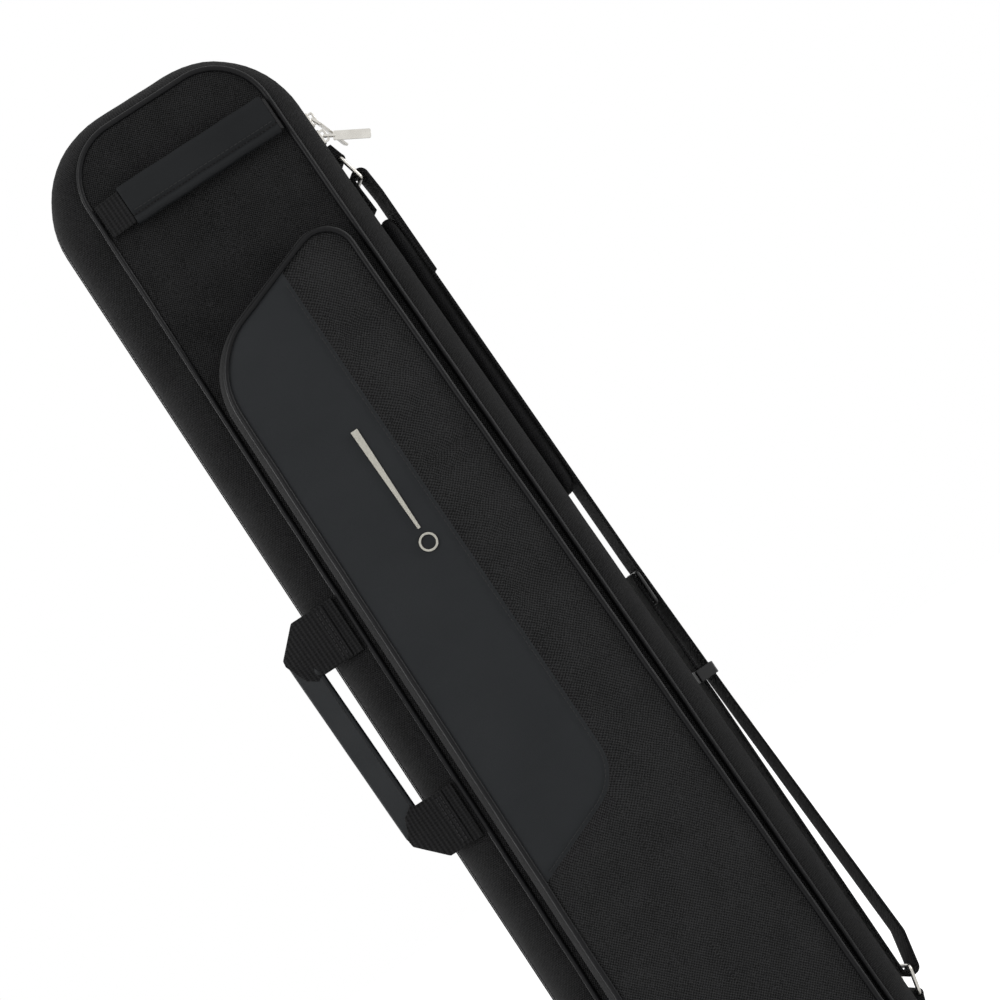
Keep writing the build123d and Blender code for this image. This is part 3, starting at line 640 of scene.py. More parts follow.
def panel_piece(name, points, triangles, swell, depth, thickness, facing, body, material, slot, nodes):
    """Closed padded sheet: the swollen face outside, a flat back, and its edge between."""
    used = sorted({i for t in triangles for i in t})
    place = {old: new for new, old in enumerate(used)}
    count = len(used)
    face = [(points[i][0], depth + facing * swell[i], points[i][1]) for i in used]
    back = [(points[i][0], depth - facing * thickness, points[i][1]) for i in used]
    triangles = [tuple(place[i] for i in t) for t in triangles]
    sides = {(a, b): None for t in triangles for a, b in zip(t, t[1:] + t[:1])}
    faces = list(triangles) + [tuple(i + count for i in reversed(t)) for t in triangles]
    for a, b in sides:
        if (b, a) not in sides:
            faces.append((b, a, a + count, b + count))
    make_piece(name, face + back, faces, body, material, slot, nodes)


def plain_panel(name, outline, depth, thickness, facing, body, node):
    """Padded panel inside one piping."""
    border = outline.at(outline.even(5 * MM, inset=PINCH)[:-1], PINCH)[0]
    points, triangles = panel_sheet(border, 8 * MM)
    held = [1.0 if nearest(Vector(p), border) < 0.2 * MM else 0.0 for p in points]
    swell = puffed(name, points, triangles, held, depth, 2.4 * MM, 0.012, facing)
    panel_piece(name, points, triangles, swell, depth, thickness, facing, body, NYLON, "nylon", [node])


# ---------------------------------------------------------------- shell
PINCH = piping_width - 1.1 * MM         # a panel tucks this far in under its piping
CORD = piping_radius * 0.84             # the cord's own radius; the rest is its sewn lip
WALL = 5.6 * MM                         # padding of the gussets
gusset("lid_gusset_cloth", lid_rim, lid_bend, lid_edge, WALL, "lid", "front_gusset", 1)
gusset("back_gusset_cloth", back_rim, back_bend, back_edge, WALL, "back_half", "back_gusset", 5)
for name, outline, facing, body, seed in (("lid", lid_edge, -1, "lid", 2), ("back", back_edge, 1, "back_half", 3),
                                          ("pocket", pocket_edge, -1, "pocket_flap", 4)):
    node = "front_piping" if name == "lid" else f"{name}_piping"
    tube(f"{name}_piping_cord", outline, piping_radius, outline.depth + facing * piping_radius, CORD, body, node, seed)
plain_panel("lid_panel_cloth", lid_edge, panel_front + 1.8 * MM, 2.2 * MM, -1, "lid", "front_panel")
plain_panel("back_panel_cloth", back_edge, back_panel_y - 1.2 * MM, 2.6 * MM, 1, "back_half", "back_panel")

# ---------------------------------------------------------------- pocket
POCKET_WALL = 3.5 * MM


def pocket_gusset_cloth():
    """The pocket's padded band, from its zip to its piping."""
    rows = []
    flap_turns = np.linspace(0, 1, 9)
    outs = solid(pocket_edge.at(STEPS)[1], 0.0)
    for inset, order in ((0.0, flap_turns), (POCKET_WALL, flap_turns[::-2])):
        root = solid(pocket_base.at(STEPS, inset)[0], pocket_root)
        edge = solid(pocket_edge.at(STEPS, inset + 1.2 * MM)[0], pocket_front)
        for t in order:
            row = root * (1 - t) + edge * t
            if inset == 0:
                swell = math.sin(math.pi * min(1, t * 1.15)) ** 0.7 if t < 0.87 else 0
                row = row + outs * ((0.7 * MM + softness(row, 0.5 * MM, 45, 11)) * swell)[:, None]
            rows.append(row)
    make_piece("pocket_gusset_cloth", *loft(rows), "pocket_flap", NYLON, "nylon", ["pocket_gusset"])


pocket_gusset_cloth()

SEAM_X, SEAM_CORNER_Z, SEAM_RADIUS = 0.0124, 0.376 * case_high, 0.033
SEAM_SLOPE = math.radians(21)
SEAM_TURN = math.pi / 2 - SEAM_SLOPE
SEAM_CUT = SEAM_RADIUS * math.tan(SEAM_TURN / 2)
SEAM_CENTRE = Vector((SEAM_X, SEAM_CORNER_Z)) - Vector((0, -1)) * SEAM_CUT + Vector((-SEAM_RADIUS, 0))


def ring_of(outline, step):
    """The panel's edge inside an outline's piping, as separate places."""
    return [Vector(p) for p in outline.at(outline.even(step, inset=PINCH)[:-1], PINCH)[0]]


def seam_line(step):
    """The seam from the slanted top down, round its corner, and away to the left-hand edge."""
    away = Vector((-math.cos(SEAM_SLOPE), -math.sin(SEAM_SLOPE)))
    path = [Vector((SEAM_X, z)) for z in np.arange(0.71, SEAM_CENTRE.y, -step)]
    path += [SEAM_CENTRE + Vector((math.cos(a), math.sin(a))) * SEAM_RADIUS for a in np.linspace(0, -SEAM_TURN, 9)]
    start = Vector((SEAM_X, SEAM_CORNER_Z)) + away * SEAM_CUT
    path += [start + away * d for d in np.arange(step, 0.2, step)]
    ring = ring_of(pocket_edge, 2 * MM)
    kept = [p for p in path if inside_of(p, ring) and nearest(p, ring) > 2.5 * MM]
    first, last = path[path.index(kept[0]) - 1], path[path.index(kept[-1]) + 1]
    return [cross_border(first, kept[0], ring)] + kept + [cross_border(kept[-1], last, ring)]


def cross_border(a, b, ring):
    """Where the line through a and b, made longer at both ends, meets the ring near them."""
    along = (b - a).normalized()
    low, high = a - along * 0.02, b + along * 0.02
    found = [geometry.intersect_line_line_2d(low, high, p, q) for p, q in zip(ring, ring[1:] + ring[:1])]
    return min((p for p in found if p), key=lambda p: (p - (a + b) / 2).length)


# Soft dents and swells in the woven part: x, z, reach and depth.
DENTS = (
    (0.036, 0.632, 0.021, 0.0022), (0.034, 0.583, 0.020, -0.0014), (0.038, 0.536, 0.020, 0.0024),
    (0.036, 0.487, 0.019, -0.0012), (0.037, 0.440, 0.020, 0.0023), (0.036, 0.392, 0.019, -0.0010),
    (0.038, 0.349, 0.019, 0.0016), (0.030, 0.296, 0.028, -0.0016), (-0.020, 0.225, 0.035, 0.0007),
    (0.020, 0.150, 0.040, 0.0006),
)


def pocket_panels():
    """The pocket's two panels, swollen as one sheet and parted at their seam. Returns the seam's line."""
    seam = seam_line(5 * MM)
    ring = ring_of(pocket_edge, 4.5 * MM)
    for point in (seam[0], seam[-1]):
        ring[min(range(len(ring)), key=lambda i: (ring[i] - point).length)] = point
    points, triangles = panel_sheet(ring, 6.5 * MM, seam[1:-1], ends=(seam[0], seam[-1]))
    seam_gaps = np.array([nearest(Vector(p), seam) for p in points])
    held = [1.0 if nearest(Vector(p), ring) < 0.2 * MM else 0.9 if gap < 0.5 * MM else 0.0
            for p, gap in zip(points, seam_gaps)]
    depth = panel_front_of_pocket
    swell = puffed("pocket_sheet", points, triangles, held, depth, 2.3 * MM, 0.014, -1)
    for dent_x, dent_z, dent_reach, deep in DENTS:
        off = (np.array(points) - (dent_x, dent_z)) / (dent_reach, dent_reach * 0.75)
        fall = deep * np.exp(-(off ** 2).sum(axis=1)) * np.minimum(1, seam_gaps / (6 * MM))
        swell = swell - fall * (swell > 0.4 * MM)
    swell = swell - 1.1 * MM * np.exp(-(seam_gaps / (2.2 * MM)) ** 2)
    smooth_side, woven_side = [], []
    for triangle in triangles:
        centre = sum((Vector(points[i]) for i in triangle), Vector((0, 0))) / 3
        (smooth_side if left_of_seam(centre) else woven_side).append(triangle)
    smooth_swell = np.where(seam_gaps > 0.5 * MM, swell * 0.75, swell)
    for kind, side, rise, material, slot in (("smooth", smooth_side, smooth_swell, LEATHER, "leatherette"),
                                             ("woven", woven_side, swell, BALLISTIC, "ballistic")):
        node = "pocket_smooth_panel" if kind == "smooth" else "pocket_nylon_panel"
        panel_piece(f"pocket_{kind}_cloth", points, side, rise, depth, 2.0 * MM, -1, "pocket_flap", material, slot,
                    [node])
    return seam


def left_of_seam(place):
    """Whether a place is on the leatherette's side."""
    if place.x > SEAM_X:
        return False
    slope_z = SEAM_CORNER_Z - (SEAM_X - place.x) * math.tan(SEAM_SLOPE)
    if place.y < slope_z:
        return False
    off = place - SEAM_CENTRE
    beyond = off.x > 0 and off.y < 0 and math.atan2(off.y, off.x) > -SEAM_TURN
    return not (beyond and off.length > SEAM_RADIUS)


panel_front_of_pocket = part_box("pocket_smooth_panel")[0][1] + 1.6 * MM
pocket_seam = pocket_panels()

# ---------------------------------------------------------------- zips
TAPE_RECESS, TAPE_THICKNESS = 0.8 * MM, 1.28 * MM
TOOTH_HIGH = 0.45 * MM


def rounded_block(length, width, height, rounding):
    """Points and faces of a small block with rounded edges, centred on its base."""
    bm = bmesh.new()
    bmesh.ops.create_cube(bm, size=1.0, matrix=Matrix.Diagonal((length, width, height, 1)))
    bmesh.ops.bevel(bm, geom=bm.edges[:], offset=rounding, segments=1, affect="EDGES")
    verts = np.array([tuple(v.co) for v in bm.verts]) + (0, 0, height / 2)
    faces = [[v.index for v in f.verts] for f in bm.faces]
    bm.free()
    return verts, faces


def scattered(name, unit, places, along, across, up, body, material, slot, replaces=()):
    """Copies of a small shape at many places, in one mesh."""
    unit_verts, unit_faces = unit
    verts = (places[:, None, :] + unit_verts[None, :, 0, None] * along[:, None, :]
             + unit_verts[None, :, 1, None] * across[:, None, :] + unit_verts[None, :, 2, None] * up[:, None, :])
    count = len(unit_verts)
    faces = [[i + n * count for i in face] for n in range(len(places)) for face in unit_faces]
    make_piece(name, verts.reshape(-1, 3), faces, body, material, slot, replaces)


def along_outline(outline, u, inset, depth):
    """Places, directions along, and outward directions on an outline at one depth."""
    places, outs = outline.at(u, inset)
    out = solid(outs, 0.0)
    along = np.column_stack([-out[:, 2], np.zeros(len(out)), out[:, 0]])
    return solid(places, depth), along, out


def sheet_rows(outline, u, depths, insets, thickness):
    """Rows of a thin sheet that follows an outline: its outside, then its inside back again."""
    outside = [along_outline(outline, u, inset, depth)[0] for depth, inset in zip(depths, insets)]
    inside = [along_outline(outline, u, inset + thickness, depth)[0] for depth, inset in zip(depths, insets)]
    return outside + inside[::-1]


def zip_half(name, outline, root, middle, u_range, body, nodes, pitch, tooth_reach, inset_root=0.6 * MM):
    """Tape from the cloth's edge to the zip's middle, and a row of teeth along it."""
    side = 1 if middle > root else -1
    u = outline.even(5 * MM, *u_range)
    depths = [root, root + (middle - root) * 0.25, middle - side * tooth_reach, middle - side * 0.15 * MM]
    insets = [inset_root, TAPE_RECESS + 0.3 * MM, TAPE_RECESS + 0.1 * MM, TAPE_RECESS + 0.1 * MM]
    rows = sheet_rows(outline, u, depths, insets, TAPE_THICKNESS)
    make_piece(f"{name}_cloth", *loft(rows, close_ring=False), body, TAPE, "zip_tape", nodes[:1])
    teeth_u = outline.even(pitch, *u_range)[:-1]
    if side > 0:
        teeth_u = (teeth_u + np.roll(teeth_u, -1)) / 2
        teeth_u = teeth_u[:-1]
    teeth_depth = middle - side * (tooth_reach / 2 - 0.1 * MM)
    places, along, out = along_outline(outline, teeth_u, TAPE_RECESS + 0.1 * MM, teeth_depth)
    across = np.cross(out, along)
    unit = rounded_block(pitch * 0.62, tooth_reach, TOOTH_HIGH + 0.3 * MM, 0.14 * MM)
    scattered(f"{name}_teeth", unit, places - out * 0.15 * MM, along, across, out, body, COIL, "coil", nodes[1:])


def cloth_strip(name, outline, u_span, depths, insets, thickness, body, node, material, slot):
    """Uneven strip of cloth across the gap between two halves."""
    u = outline.even(5 * MM, *u_span)
    rows = sheet_rows(outline, u, depths, insets, thickness)
    count = len(depths)
    rows[:count] = [row + softness(row, 0.25 * MM, 50, 3)[:, None] * [[1, 0, 0]] for row in rows[:count]]
    make_piece(name, *loft(rows, close_ring=False), body, material, slot, [node])


hinge_low, hinge_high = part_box("hinge_strip")[0][2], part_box("hinge_strip")[1][2]
end_low, end_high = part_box("zip_end_lower")[0][2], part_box("zip_end_upper")[1][2]
rim_line = lid_rim.moved(zip_y)
u_low, u_high = rim_line.right_u(hinge_low), rim_line.right_u(hinge_high)
side_low, side_high = (end.y for end in rim_line.sides[1])
(low_centre, low_radius, _, low_turn), (high_centre, high_radius, _, high_turn) = rim_line.corners[:2]
u_end_low = rim_line.right_u(end_low)
u_end_high = rim_line.right_u(min(end_high, side_high - 0.1 * MM))
if end_high > side_high:                # the zip's end reaches round the corner
    u_end_high = 3 + math.asin(min(1, (end_high - high_centre.y) / high_radius)) / high_turn
if end_low < side_low:
    u_end_low = 2 - math.asin(min(1, (low_centre.y - end_low) / low_radius)) / low_turn
round_zip = (u_end_high, SEGMENTS + u_end_low)
MAIN_PITCH, MAIN_REACH = 2.4 * MM, 2.3 * MM
for side, root, body in (("lid", lid_root, "lid"), ("back", back_root, "back_half")):
    nodes = [f"{side}_zip_tape", f"{side}_zip_coil"]
    zip_half(f"{side}_zip", rim_line, root, zip_y, round_zip, body, nodes, MAIN_PITCH, MAIN_REACH)
for end_name, u_span in (("upper", (u_high, u_end_high)), ("lower", (u_end_low, u_low))):
    for side, root in (("lid", lid_root), ("back", back_root)):
        zip_half(f"zip_end_{end_name}_{side}_side", rim_line, root, zip_y, u_span, "back_half", [f"zip_end_{end_name}"],
                 MAIN_PITCH, MAIN_REACH)

span = np.linspace(lid_root + 0.1 * MM, back_root - 0.1 * MM, 7)
cloth_strip("hinge_cloth", rim_line, (u_low, u_high), span, 0.9 * MM + 0.7 * MM * np.sin(np.linspace(0, math.pi, 7)),
            2.2 * MM, "back_half", "hinge_strip", NYLON, "nylon")

pocket_line = pocket_base.moved(pocket_split)
pocket_low_u, pocket_high_u = (pocket_line.right_u(end[2]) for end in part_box("pocket_hinge_strip")[:2])
POCKET_PITCH, POCKET_REACH = 1.9 * MM, 1.8 * MM
pocket_zip_span = (pocket_high_u, SEGMENTS + 1.0 + 1e-6)
for half, root, body, inset_root in (("base", pocket_zip_back, "lid", 0.6 * MM),
                                     ("flap", pocket_zip_front, "pocket_flap", 0.2 * MM)):
    zip_half(f"pocket_zip_{half}_half", pocket_line, root, pocket_split, pocket_zip_span, body, [f"pocket_zip_{half}"],
             POCKET_PITCH, POCKET_REACH, inset_root)
pocket_span = np.linspace(pocket_zip_front, pocket_zip_back, 5)
pocket_insets = 0.4 * MM + 0.6 * MM * np.sin(np.linspace(0, math.pi, 5))
for node, u_span, material, slot in (("pocket_hinge_strip", (pocket_low_u, pocket_high_u), NYLON, "nylon"),
                                     ("pocket_zip_end", (1.0, pocket_low_u), TAPE, "zip_tape")):
    cloth_strip(node.replace("_strip", "") + "_cloth", pocket_line, u_span, pocket_span, pocket_insets, 2.6 * MM, "lid",
                node, material, slot)

# ---------------------------------------------------------------- stitches
STITCH_LENGTH, STITCH_PITCH, STITCH_WIDTH = 2.4 * MM, 3.2 * MM, 0.55 * MM


def stitches(name, lines, body, slot, material=None):
    """Rows of thread along lines. Each line is (points, outward direction)."""
    unit = rounded_block(STITCH_LENGTH, STITCH_WIDTH, 0.5 * MM, 0.16 * MM)
    places, along, up = [], [], []
    for points, outward in lines:
        points = np.array([tuple(p) for p in points])
        outwards = np.broadcast_to(np.array(outward, float), points.shape)
        run = np.concatenate([[0], np.cumsum(np.linalg.norm(np.diff(points, axis=0), axis=1))])
        stops = np.arange(STITCH_PITCH / 2, run[-1] - STITCH_PITCH / 3, STITCH_PITCH)
        here = np.column_stack([np.interp(stops, run, points[:, i]) for i in range(3)])
        ahead = np.column_stack([np.interp(stops + STITCH_PITCH / 3, run, points[:, i]) for i in range(3)])
        out = np.column_stack([np.interp(stops, run, outwards[:, i]) for i in range(3)])
        way = ahead - here
        way /= np.linalg.norm(way, axis=1)[:, None]
        places.append(here)
        along.append(way)
        up.append(out / np.linalg.norm(out, axis=1)[:, None])
    places, along, up = np.concatenate(places), np.concatenate(along), np.concatenate(up)
    scattered(name, unit, places - up * 0.22 * MM, along, np.cross(up, along), up, body, material or STITCH, slot)


def seam_stitches():
    depth = panel_front_of_pocket - 0.75 * MM
    line = [Vector(p) for p in pocket_seam[1:-1]]
    shifted = []
    for before, after in zip(line[:-1], line[1:]):
        way = (after - before).normalized()
        shifted.append((before + after) / 2 + Vector((way.y, -way.x)) * 2.6 * MM)
    places = [(p.x, depth, p.y) for p in shifted]
    stitches("pocket_seam_stitches", [(places, (0, -1, 0))], "pocket_flap", "leatherette", SEAM_THREAD)


seam_stitches()

# ---------------------------------------------------------------- grab handle
# Section of the leatherette band, as mm forward from its back and up from its base.
GRAB_PROFILE = ((0.3, 0.6), (0.3, 26.2), (1.0, 26.9), (2.6, 27.0), (3.9, 26.6), (4.35, 25.6), (4.4, 22.0), (4.3, 16.0),
                (4.25, 11.0), (4.15, 7.9), (3.6, 7.0), (3.2, 6.5), (3.7, 6.0), (4.5, 5.0), (4.95, 3.4), (4.7, 1.7),
                (3.6, 0.5), (2.2, 0.0), (1.0, 0.1))


def grab_wrap_cloth():
    """Leatherette band folded round the webbing, with its lower edge rolled and sewn."""
    low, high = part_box("grab_wrap")
    steps = np.concatenate([[0, 0.004, 0.012], np.linspace(0.03, 0.97, 40), [0.988, 0.996, 1]])
    rings = []
    profile = np.array(GRAB_PROFILE) * MM
    middle = profile.mean(axis=0)
    for t in steps:
        end_gap = min(t, 1 - t) * (high[0] - low[0])
        tuck = 1 - 0.1 * math.exp(-(end_gap / (0.7 * MM)) ** 2)
        bow = 0.25 * MM * math.sin(math.pi * t)
        ring = middle + (profile - middle) * (tuck, 1 - (1 - tuck) * 0.3)
        x = low[0] + (high[0] - low[0]) * t
        wave = 0.12 * MM * math.sin(x * 210)
        depths = high[1] - ring[:, 0] - bow * (ring[:, 0] > 2 * MM) * 0.6
        rings.append(np.column_stack([np.full(len(ring), x), depths, low[2] + ring[:, 1] + wave]))
    make_piece("grab_wrap_leather", *capped(rings), "grab_handle", WRAP_LEATHER, "leatherette", ["grab_wrap"])
    groove_z = low[2] + 7.9 * MM + 1.2 * MM
    line = [(x, high[1] - 4.3 * MM, groove_z) for x in np.linspace(low[0] + 2 * MM, high[0] - 2 * MM, 60)]
    stitches("grab_wrap_stitches", [(line, (0, -1, 0))], "grab_handle", "leatherette", SEAM_THREAD)


grab_wrap_cloth()

# ---------------------------------------------------------------- side handle
joint_at = {joint["name"]: joint for joint in record["behaviour"]["joints"]}
handle_origin = np.array(joint_at["side_handle_swing"]["pos_m"])
seam_up = np.array(joint_at["side_handle_swing"]["axis"])
HANDLE_ANGLE = math.radians(24)
level_out = np.array([-math.cos(HANDLE_ANGLE), math.sin(HANDLE_ANGLE), 0.0])
handle_out = level_out - seam_up * level_out.dot(seam_up)
handle_out /= np.linalg.norm(handle_out)
handle_face = np.cross(handle_out, seam_up)
if handle_face[1] > 0:
    handle_face = -handle_face              # towards the viewer's side
HALF_SPAN, REACH_LOW, REACH_HIGH = 87 * MM, 44 * MM, 50 * MM
GRIP_WIDTH, GRIP_THICK = 17 * MM, 6 * MM


def handle_point(across, up, out=0.0):
    return handle_origin + handle_out * across + seam_up * up + handle_face * out


def reach(up):
    return REACH_LOW + (REACH_HIGH - REACH_LOW) * (up + HALF_SPAN) / (2 * HALF_SPAN)


def handle_grip():
    """Leatherette wrapped round the webbing and padding, ends cut on the slant."""
    half = 63.5 * MM
    rings = []
    turns = np.linspace(0, 2 * math.pi, 28, endpoint=False)
    for t in np.linspace(-1, 1, 60):
        end_gap = (1 - abs(t)) * half
        full = 1 - 0.28 * math.exp(-end_gap / (3 * MM))
        swell = 1 + 0.07 * math.sin(9 * t + 1) * math.exp(-abs(t))
        ring = []
        for a in turns:
            c, d = math.cos(a), math.sin(a)
            across = math.copysign(abs(c) ** 0.42, c) * GRIP_WIDTH / 2
            out = math.copysign(abs(d) ** 0.62, d) * GRIP_THICK / 2 * full * swell
            slant = (across + GRIP_WIDTH / 2) * 0.32 * t ** 3
            up = t * half * 0.93 + slant
            middle = reach(up) - GRIP_WIDTH / 2
            groove = 0.35 * MM * math.exp(-((across + 4.6 * MM) / (0.55 * MM)) ** 2)
            ring.append(handle_point(middle + across, up, out - math.copysign(groove, d)))
        rings.append(np.array(ring))
    grip = make_piece("handle_grip_leather", *capped(rings), "side_handle", GRIP_LEATHER, "leatherette",
                      ["handle_grip"])
    line = [handle_point(reach(up) - GRIP_WIDTH + 2.2 * MM, up, GRIP_THICK / 2 - 0.25 * MM)
            for up in np.linspace(-52 * MM, 54 * MM, 70)]
    stitches("handle_grip_stitches", [(line, handle_face)], "side_handle", "leatherette", SEAM_THREAD)


def handle_folds():
    """The webbing's folded corners, which lie over the grip's ends."""
    for name, side in (("upper", 1), ("lower", -1)):
        outer, inner = side * HALF_SPAN, side * (HALF_SPAN - 38 * MM)
        tip = reach(outer)
        shape = [(8 * MM, outer - side * 0.4 * MM), (tip - 18 * MM, outer - side * 0.4 * MM),
                 (tip - 1.0 * MM, outer - side * 17 * MM), (tip - 0.6 * MM, outer - side * 21 * MM),
                 (tip - 7 * MM, inner + side * 3 * MM), (tip - 13.5 * MM, inner - side * 1.2 * MM),
                 (tip - 18 * MM, inner + side * 0.4 * MM), (8 * MM, inner + side * 0.4 * MM)]
        base, thick = 1.1 * MM, 1.3 * MM
        lift = [0.0, 0.3, 1.0, 1.6, 2.4, 2.4, 0.5, 0.0]
        front = [handle_point(x, y, base + thick + 0.9 * MM * l) for (x, y), l in zip(shape, lift)]
        back = [handle_point(x, y, base) for x, y in shape]
        count = len(shape)
        faces = [list(range(count)), list(range(count, 2 * count))]
        faces += [(i, (i + 1) % count, count + (i + 1) % count, count + i) for i in range(count)]
        piece = make_piece(f"handle_fold_{name}", front + back, faces, "side_handle", WEBBING_ACROSS, "webbing")
        rounding = piece.modifiers.new("rounding", "BEVEL")
        rounding.width, rounding.segments, rounding.limit_method = 0.7 * MM, 3, "ANGLE"
        apply_modifiers(piece)
        smooth(piece.data)
        piece.data.set_sharp_from_angle(angle=math.radians(55))


handle_grip()
handle_folds()
refined("handle_webbing", "side_handle", WEBBING_ACROSS, 0.6 * MM, 3)
box_lines = []
for side in (1, -1):
    outer, inner = side * (HALF_SPAN - 3 * MM), side * (HALF_SPAN - 35 * MM)
    for line_x in (10.5 * MM, 13.5 * MM):
        box_lines.append(([handle_point(line_x, y, 2.5 * MM) for y in np.linspace(outer, inner, 14)], handle_face))
stitches("handle_webbing_stitches", box_lines, "side_handle", "webbing")

# ---------------------------------------------------------------- shoulder strap
def strap_pad():
    """Padded sleeve on the strap, swollen by cloth pressure."""
    source = frame["nodes"]["strap_pad"].data.copy()
    pad = placed("strap_pad_cloth", source)
    low, high = (np.array(corner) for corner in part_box("strap_pad"))
    middle = (low + high) / 2
    for vertex in source.vertices:
        vertex.co = Vector(middle + (np.array(vertex.co) - middle) * (0.86, 0.97, 0.99))
    remesh = pad.modifiers.new("remesh", "REMESH")
    remesh.mode, remesh.voxel_size = "VOXEL", 4 * MM
    apply_modifiers(pad)
    start = np.array([tuple(v.co) for v in pad.data.vertices])
    cloth = pad.modifiers.new("cloth", "CLOTH")
    cloth.settings.use_pressure = True
    cloth.settings.uniform_pressure_force = 4
    cloth.settings.effector_weights.gravity = 0
    run_cloth(15)
    apply_modifiers(pad)
    bpy.context.scene.frame_set(1)
    moved = np.array([tuple(v.co) for v in pad.data.vertices])
    shift = moved - start
    size = np.linalg.norm(shift, axis=1)
    shift *= np.minimum(1, 1.6 * MM / np.maximum(size, 1e-9))[:, None]
    final = start + shift
    final[:, 0] += softness(final, 0.5 * MM, 35, 31)
    final = np.clip(final, low - (0.0, 1.5 * MM, 1.5 * MM), high + (1.2 * MM, 1.5 * MM, 1.5 * MM))
    for vertex, place in zip(pad.data.vertices, final):
        vertex.co = place
    smoothing = pad.modifiers.new("fine", "SUBSURF")
    smoothing.levels = smoothing.render_levels = 1
    apply_modifiers(pad)
    pad.data.materials.clear()
    pad.data.materials.append(PAD)
    smooth(pad.data)
    register(pad, "pad", ["strap_pad"])


strap_pad()
for node, width in (("strap_webbing", 0.55), ("strap_upper_fold", 0.55), ("strap_tab_upper", 0.4),
                    ("strap_tab_lower", 0.4)):
    refined(node, "back_half", WEBBING, width * MM, 3)
refined("strap_adjuster", "back_half", BUCKLE, 0.3 * MM, 2)
refined("strap_keeper", "keeper", BUCKLE, 0.5 * MM, 3)
for name in ("upper", "lower"):
    refined(f"strap_ring_{name}", f"ring_{name}", NICKEL, 0.2 * MM, 2, angle=60)


def fold_stitches():
    """Box and cross of stitches on the strap's folded end."""
    node = "strap_upper_fold"
    low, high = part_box(node)
    z_low, z_high = low[2] + 4 * MM, low[2] + 26 * MM
    front, back = low[1] + 4 * MM, high[1] - 4 * MM
    corners = [(front, z_low), (back, z_low), (back, z_high), (front, z_high), (front, z_low), (back, z_high)]
    line = []
    for (y0, z0), (y1, z1) in zip(corners[:-1], corners[1:]):
        for t in np.linspace(0, 1, 12):
            z = z0 + (z1 - z0) * t
            line.append((outer_face(node, z), y0 + (y1 - y0) * t, z))
    stitches("strap_fold_stitches", [(line, (1, 0, 0.01))], "back_half", "webbing")


def outer_face(node, z):
    """Outermost x of a node near a height, read from its mesh."""
    mesh = frame["nodes"][node].data
    pairs = []
    for edge in mesh.edges:
        a, b = (mesh.vertices[i].co for i in edge.vertices)
        if min(a.z, b.z) <= z <= max(a.z, b.z) and abs(a.z - b.z) > 1e-7:
            pairs.append(a.x + (b.x - a.x) * (z - a.z) / (b.z - a.z))
    return max(pairs)


fold_stitches()

# ---------------------------------------------------------------- small hardware
for zip_name in ("lower_main", "upper_main", "pocket_side", "pocket_base"):
    refined(f"{zip_name}_slider", f"slider_{zip_name}", NICKEL, 0.35 * MM, 3)
    refined(f"{zip_name}_pull", f"pull_{zip_name}", NICKEL, 0.3 * MM, 3)

# ---------------------------------------------------------------- inside
refined("cue_tray", "back_half", FLOCK, 1.0 * MM, 2, angle=50)
for node, body, material, slot, width, segments in (
        ("hold_down_bands", "back_half", WEBBING, "webbing", 0.4, 2), ("mesh_pocket", "lid", NET, "mesh", 0.3, 2),
        ("mesh_binding", "lid", WEBBING, "webbing", 0.4, 2), ("grab_ends", "lid", WEBBING_ACROSS, "webbing", 0.7, 3),
        ("grab_core", "grab_handle", WEBBING_ACROSS, "webbing", 0.5, 2)):
    refined(node, body, material, width * MM, segments)
refined("emblem", "pocket_flap", THREAD, 0.3 * MM, 3, angle=40)

# ---------------------------------------------------------------- camera, light and floor
CAMERA_AZIMUTH = math.radians(-7)
CAMERA_ROLL = math.radians(34)      # the case leans this much to the left in the picture
CAMERA_DISTANCE = 2.6
SENSOR = 36.0


def set_camera():
    """Long lens, level with the case's middle, rolled so that the case lies across the frame."""
    middle = Vector((0, zip_y, cad_high[2] / 2))
    ahead = Vector((-math.sin(CAMERA_AZIMUTH), math.cos(CAMERA_AZIMUTH), 0))
    right = Vector((math.cos(CAMERA_AZIMUTH), math.sin(CAMERA_AZIMUTH), 0))
    up = Vector((0, 0, 1))
    place = middle - ahead * CAMERA_DISTANCE
    target = middle + right * 0.0535 + up * 0.0792
    ahead = (target - place).normalized()
    side = ahead.cross(up).normalized()
    above = side.cross(ahead)
    frame_right = side * math.cos(CAMERA_ROLL) - above * math.sin(CAMERA_ROLL)
    frame_up = above * math.cos(CAMERA_ROLL) + side * math.sin(CAMERA_ROLL)
    camera = placed("camera", bpy.data.cameras.new("camera"))
    camera.data.sensor_width = SENSOR
    camera.data.lens = 149.4
    turn = Matrix((frame_right, frame_up, -ahead)).transposed()
    camera.matrix_world = Matrix.Translation(place) @ turn.to_4x4()
    camera.data.clip_start = 0.1
    camera.data.clip_end = 20
    bpy.context.scene.camera = camera


def ray_kind(tree, *kinds):
    """1 on any of these kinds of ray, 0 on others."""
    path = tree.nodes.new("ShaderNodeLightPath")
    found = path.outputs[kinds[0]]
    for kind in kinds[1:]:
        either = tree.nodes.new("ShaderNodeMath")
        either.operation = "MAXIMUM"
        tree.links.new(found, either.inputs[0])
        tree.links.new(path.outputs[kind], either.inputs[1])
        found = either.outputs[0]
    return found


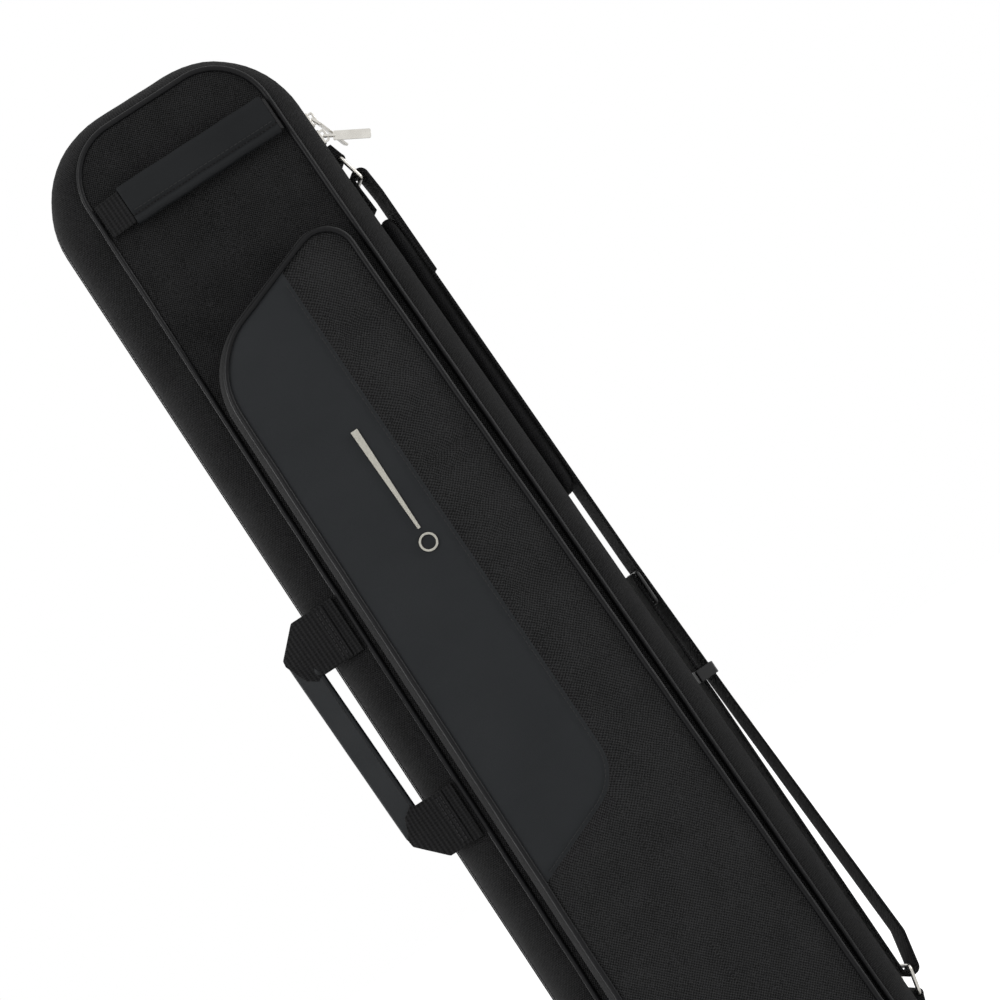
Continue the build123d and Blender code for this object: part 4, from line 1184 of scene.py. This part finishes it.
def area_light(name, place, aim, size, power):
    light = bpy.data.lights.new(name, "AREA")
    light.shape = "RECTANGLE"
    light.size, light.size_y = size
    light.energy = power
    holder = placed(name, light)
    holder.location = place
    holder.rotation_mode = "QUATERNION"
    holder.rotation_quaternion = (Vector(aim) - Vector(place)).to_track_quat("-Z", "Y")


def set_light():
    """Three soft lights, and a white world that is brighter where it is seen directly or mirrored."""
    middle = (0, zip_y, 0.42)
    area_light("key", (-1.5, -2.0, 1.7), middle, (1.2, 1.6), 34)
    area_light("side", (2.2, -0.7, 0.7), middle, (0.5, 1.8), 20)
    area_light("rim", (-2.0, 1.0, 0.9), middle, (0.6, 1.6), 18)
    world = bpy.data.worlds.new("studio")
    bpy.context.scene.world = world
    world.use_nodes = True
    tree = world.node_tree
    background = tree.nodes["Background"]
    background.inputs["Color"].default_value = (1, 1, 1, 1)
    seen = ray_kind(tree, "Is Camera Ray", "Is Transmission Ray", "Is Glossy Ray")
    strength = tree.nodes.new("ShaderNodeMapRange")
    strength.inputs["To Min"].default_value = 0.55
    strength.inputs["To Max"].default_value = 1.0
    tree.links.new(seen, strength.inputs["Value"])
    tree.links.new(strength.outputs[0], background.inputs["Strength"])


def set_floor():
    """White floor, which shows the case's shadow."""
    mesh = bpy.data.meshes.new("floor")
    half = 6.0
    corners = [(-half, -half, 0), (half, -half, 0), (half, half, 0), (-half, half, 0)]
    mesh.from_pydata(corners, [], [(0, 1, 2, 3)])
    floor = placed("floor", mesh)
    floor.location.z = -0.0005
    material = bpy.data.materials.new("floor_white")
    material.use_nodes = True
    tree = material.node_tree
    shader = tree.nodes["Principled BSDF"]
    shader.inputs["Base Color"].default_value = (0.85, 0.85, 0.85, 1)
    shader.inputs["Roughness"].default_value = 0.9
    shader.inputs["Specular IOR Level"].default_value = 0.05
    shader.inputs["Emission Color"].default_value = (1, 1, 1, 1)
    glow = tree.nodes.new("ShaderNodeMath")
    glow.operation = "MULTIPLY"
    glow.inputs[1].default_value = 0.6
    tree.links.new(ray_kind(tree, "Is Camera Ray"), glow.inputs[0])
    tree.links.new(glow.outputs[0], shader.inputs["Emission Strength"])
    mesh.materials.append(material)


set_camera()
set_light()
set_floor()
bpy.context.scene.view_settings.view_transform = "Standard"
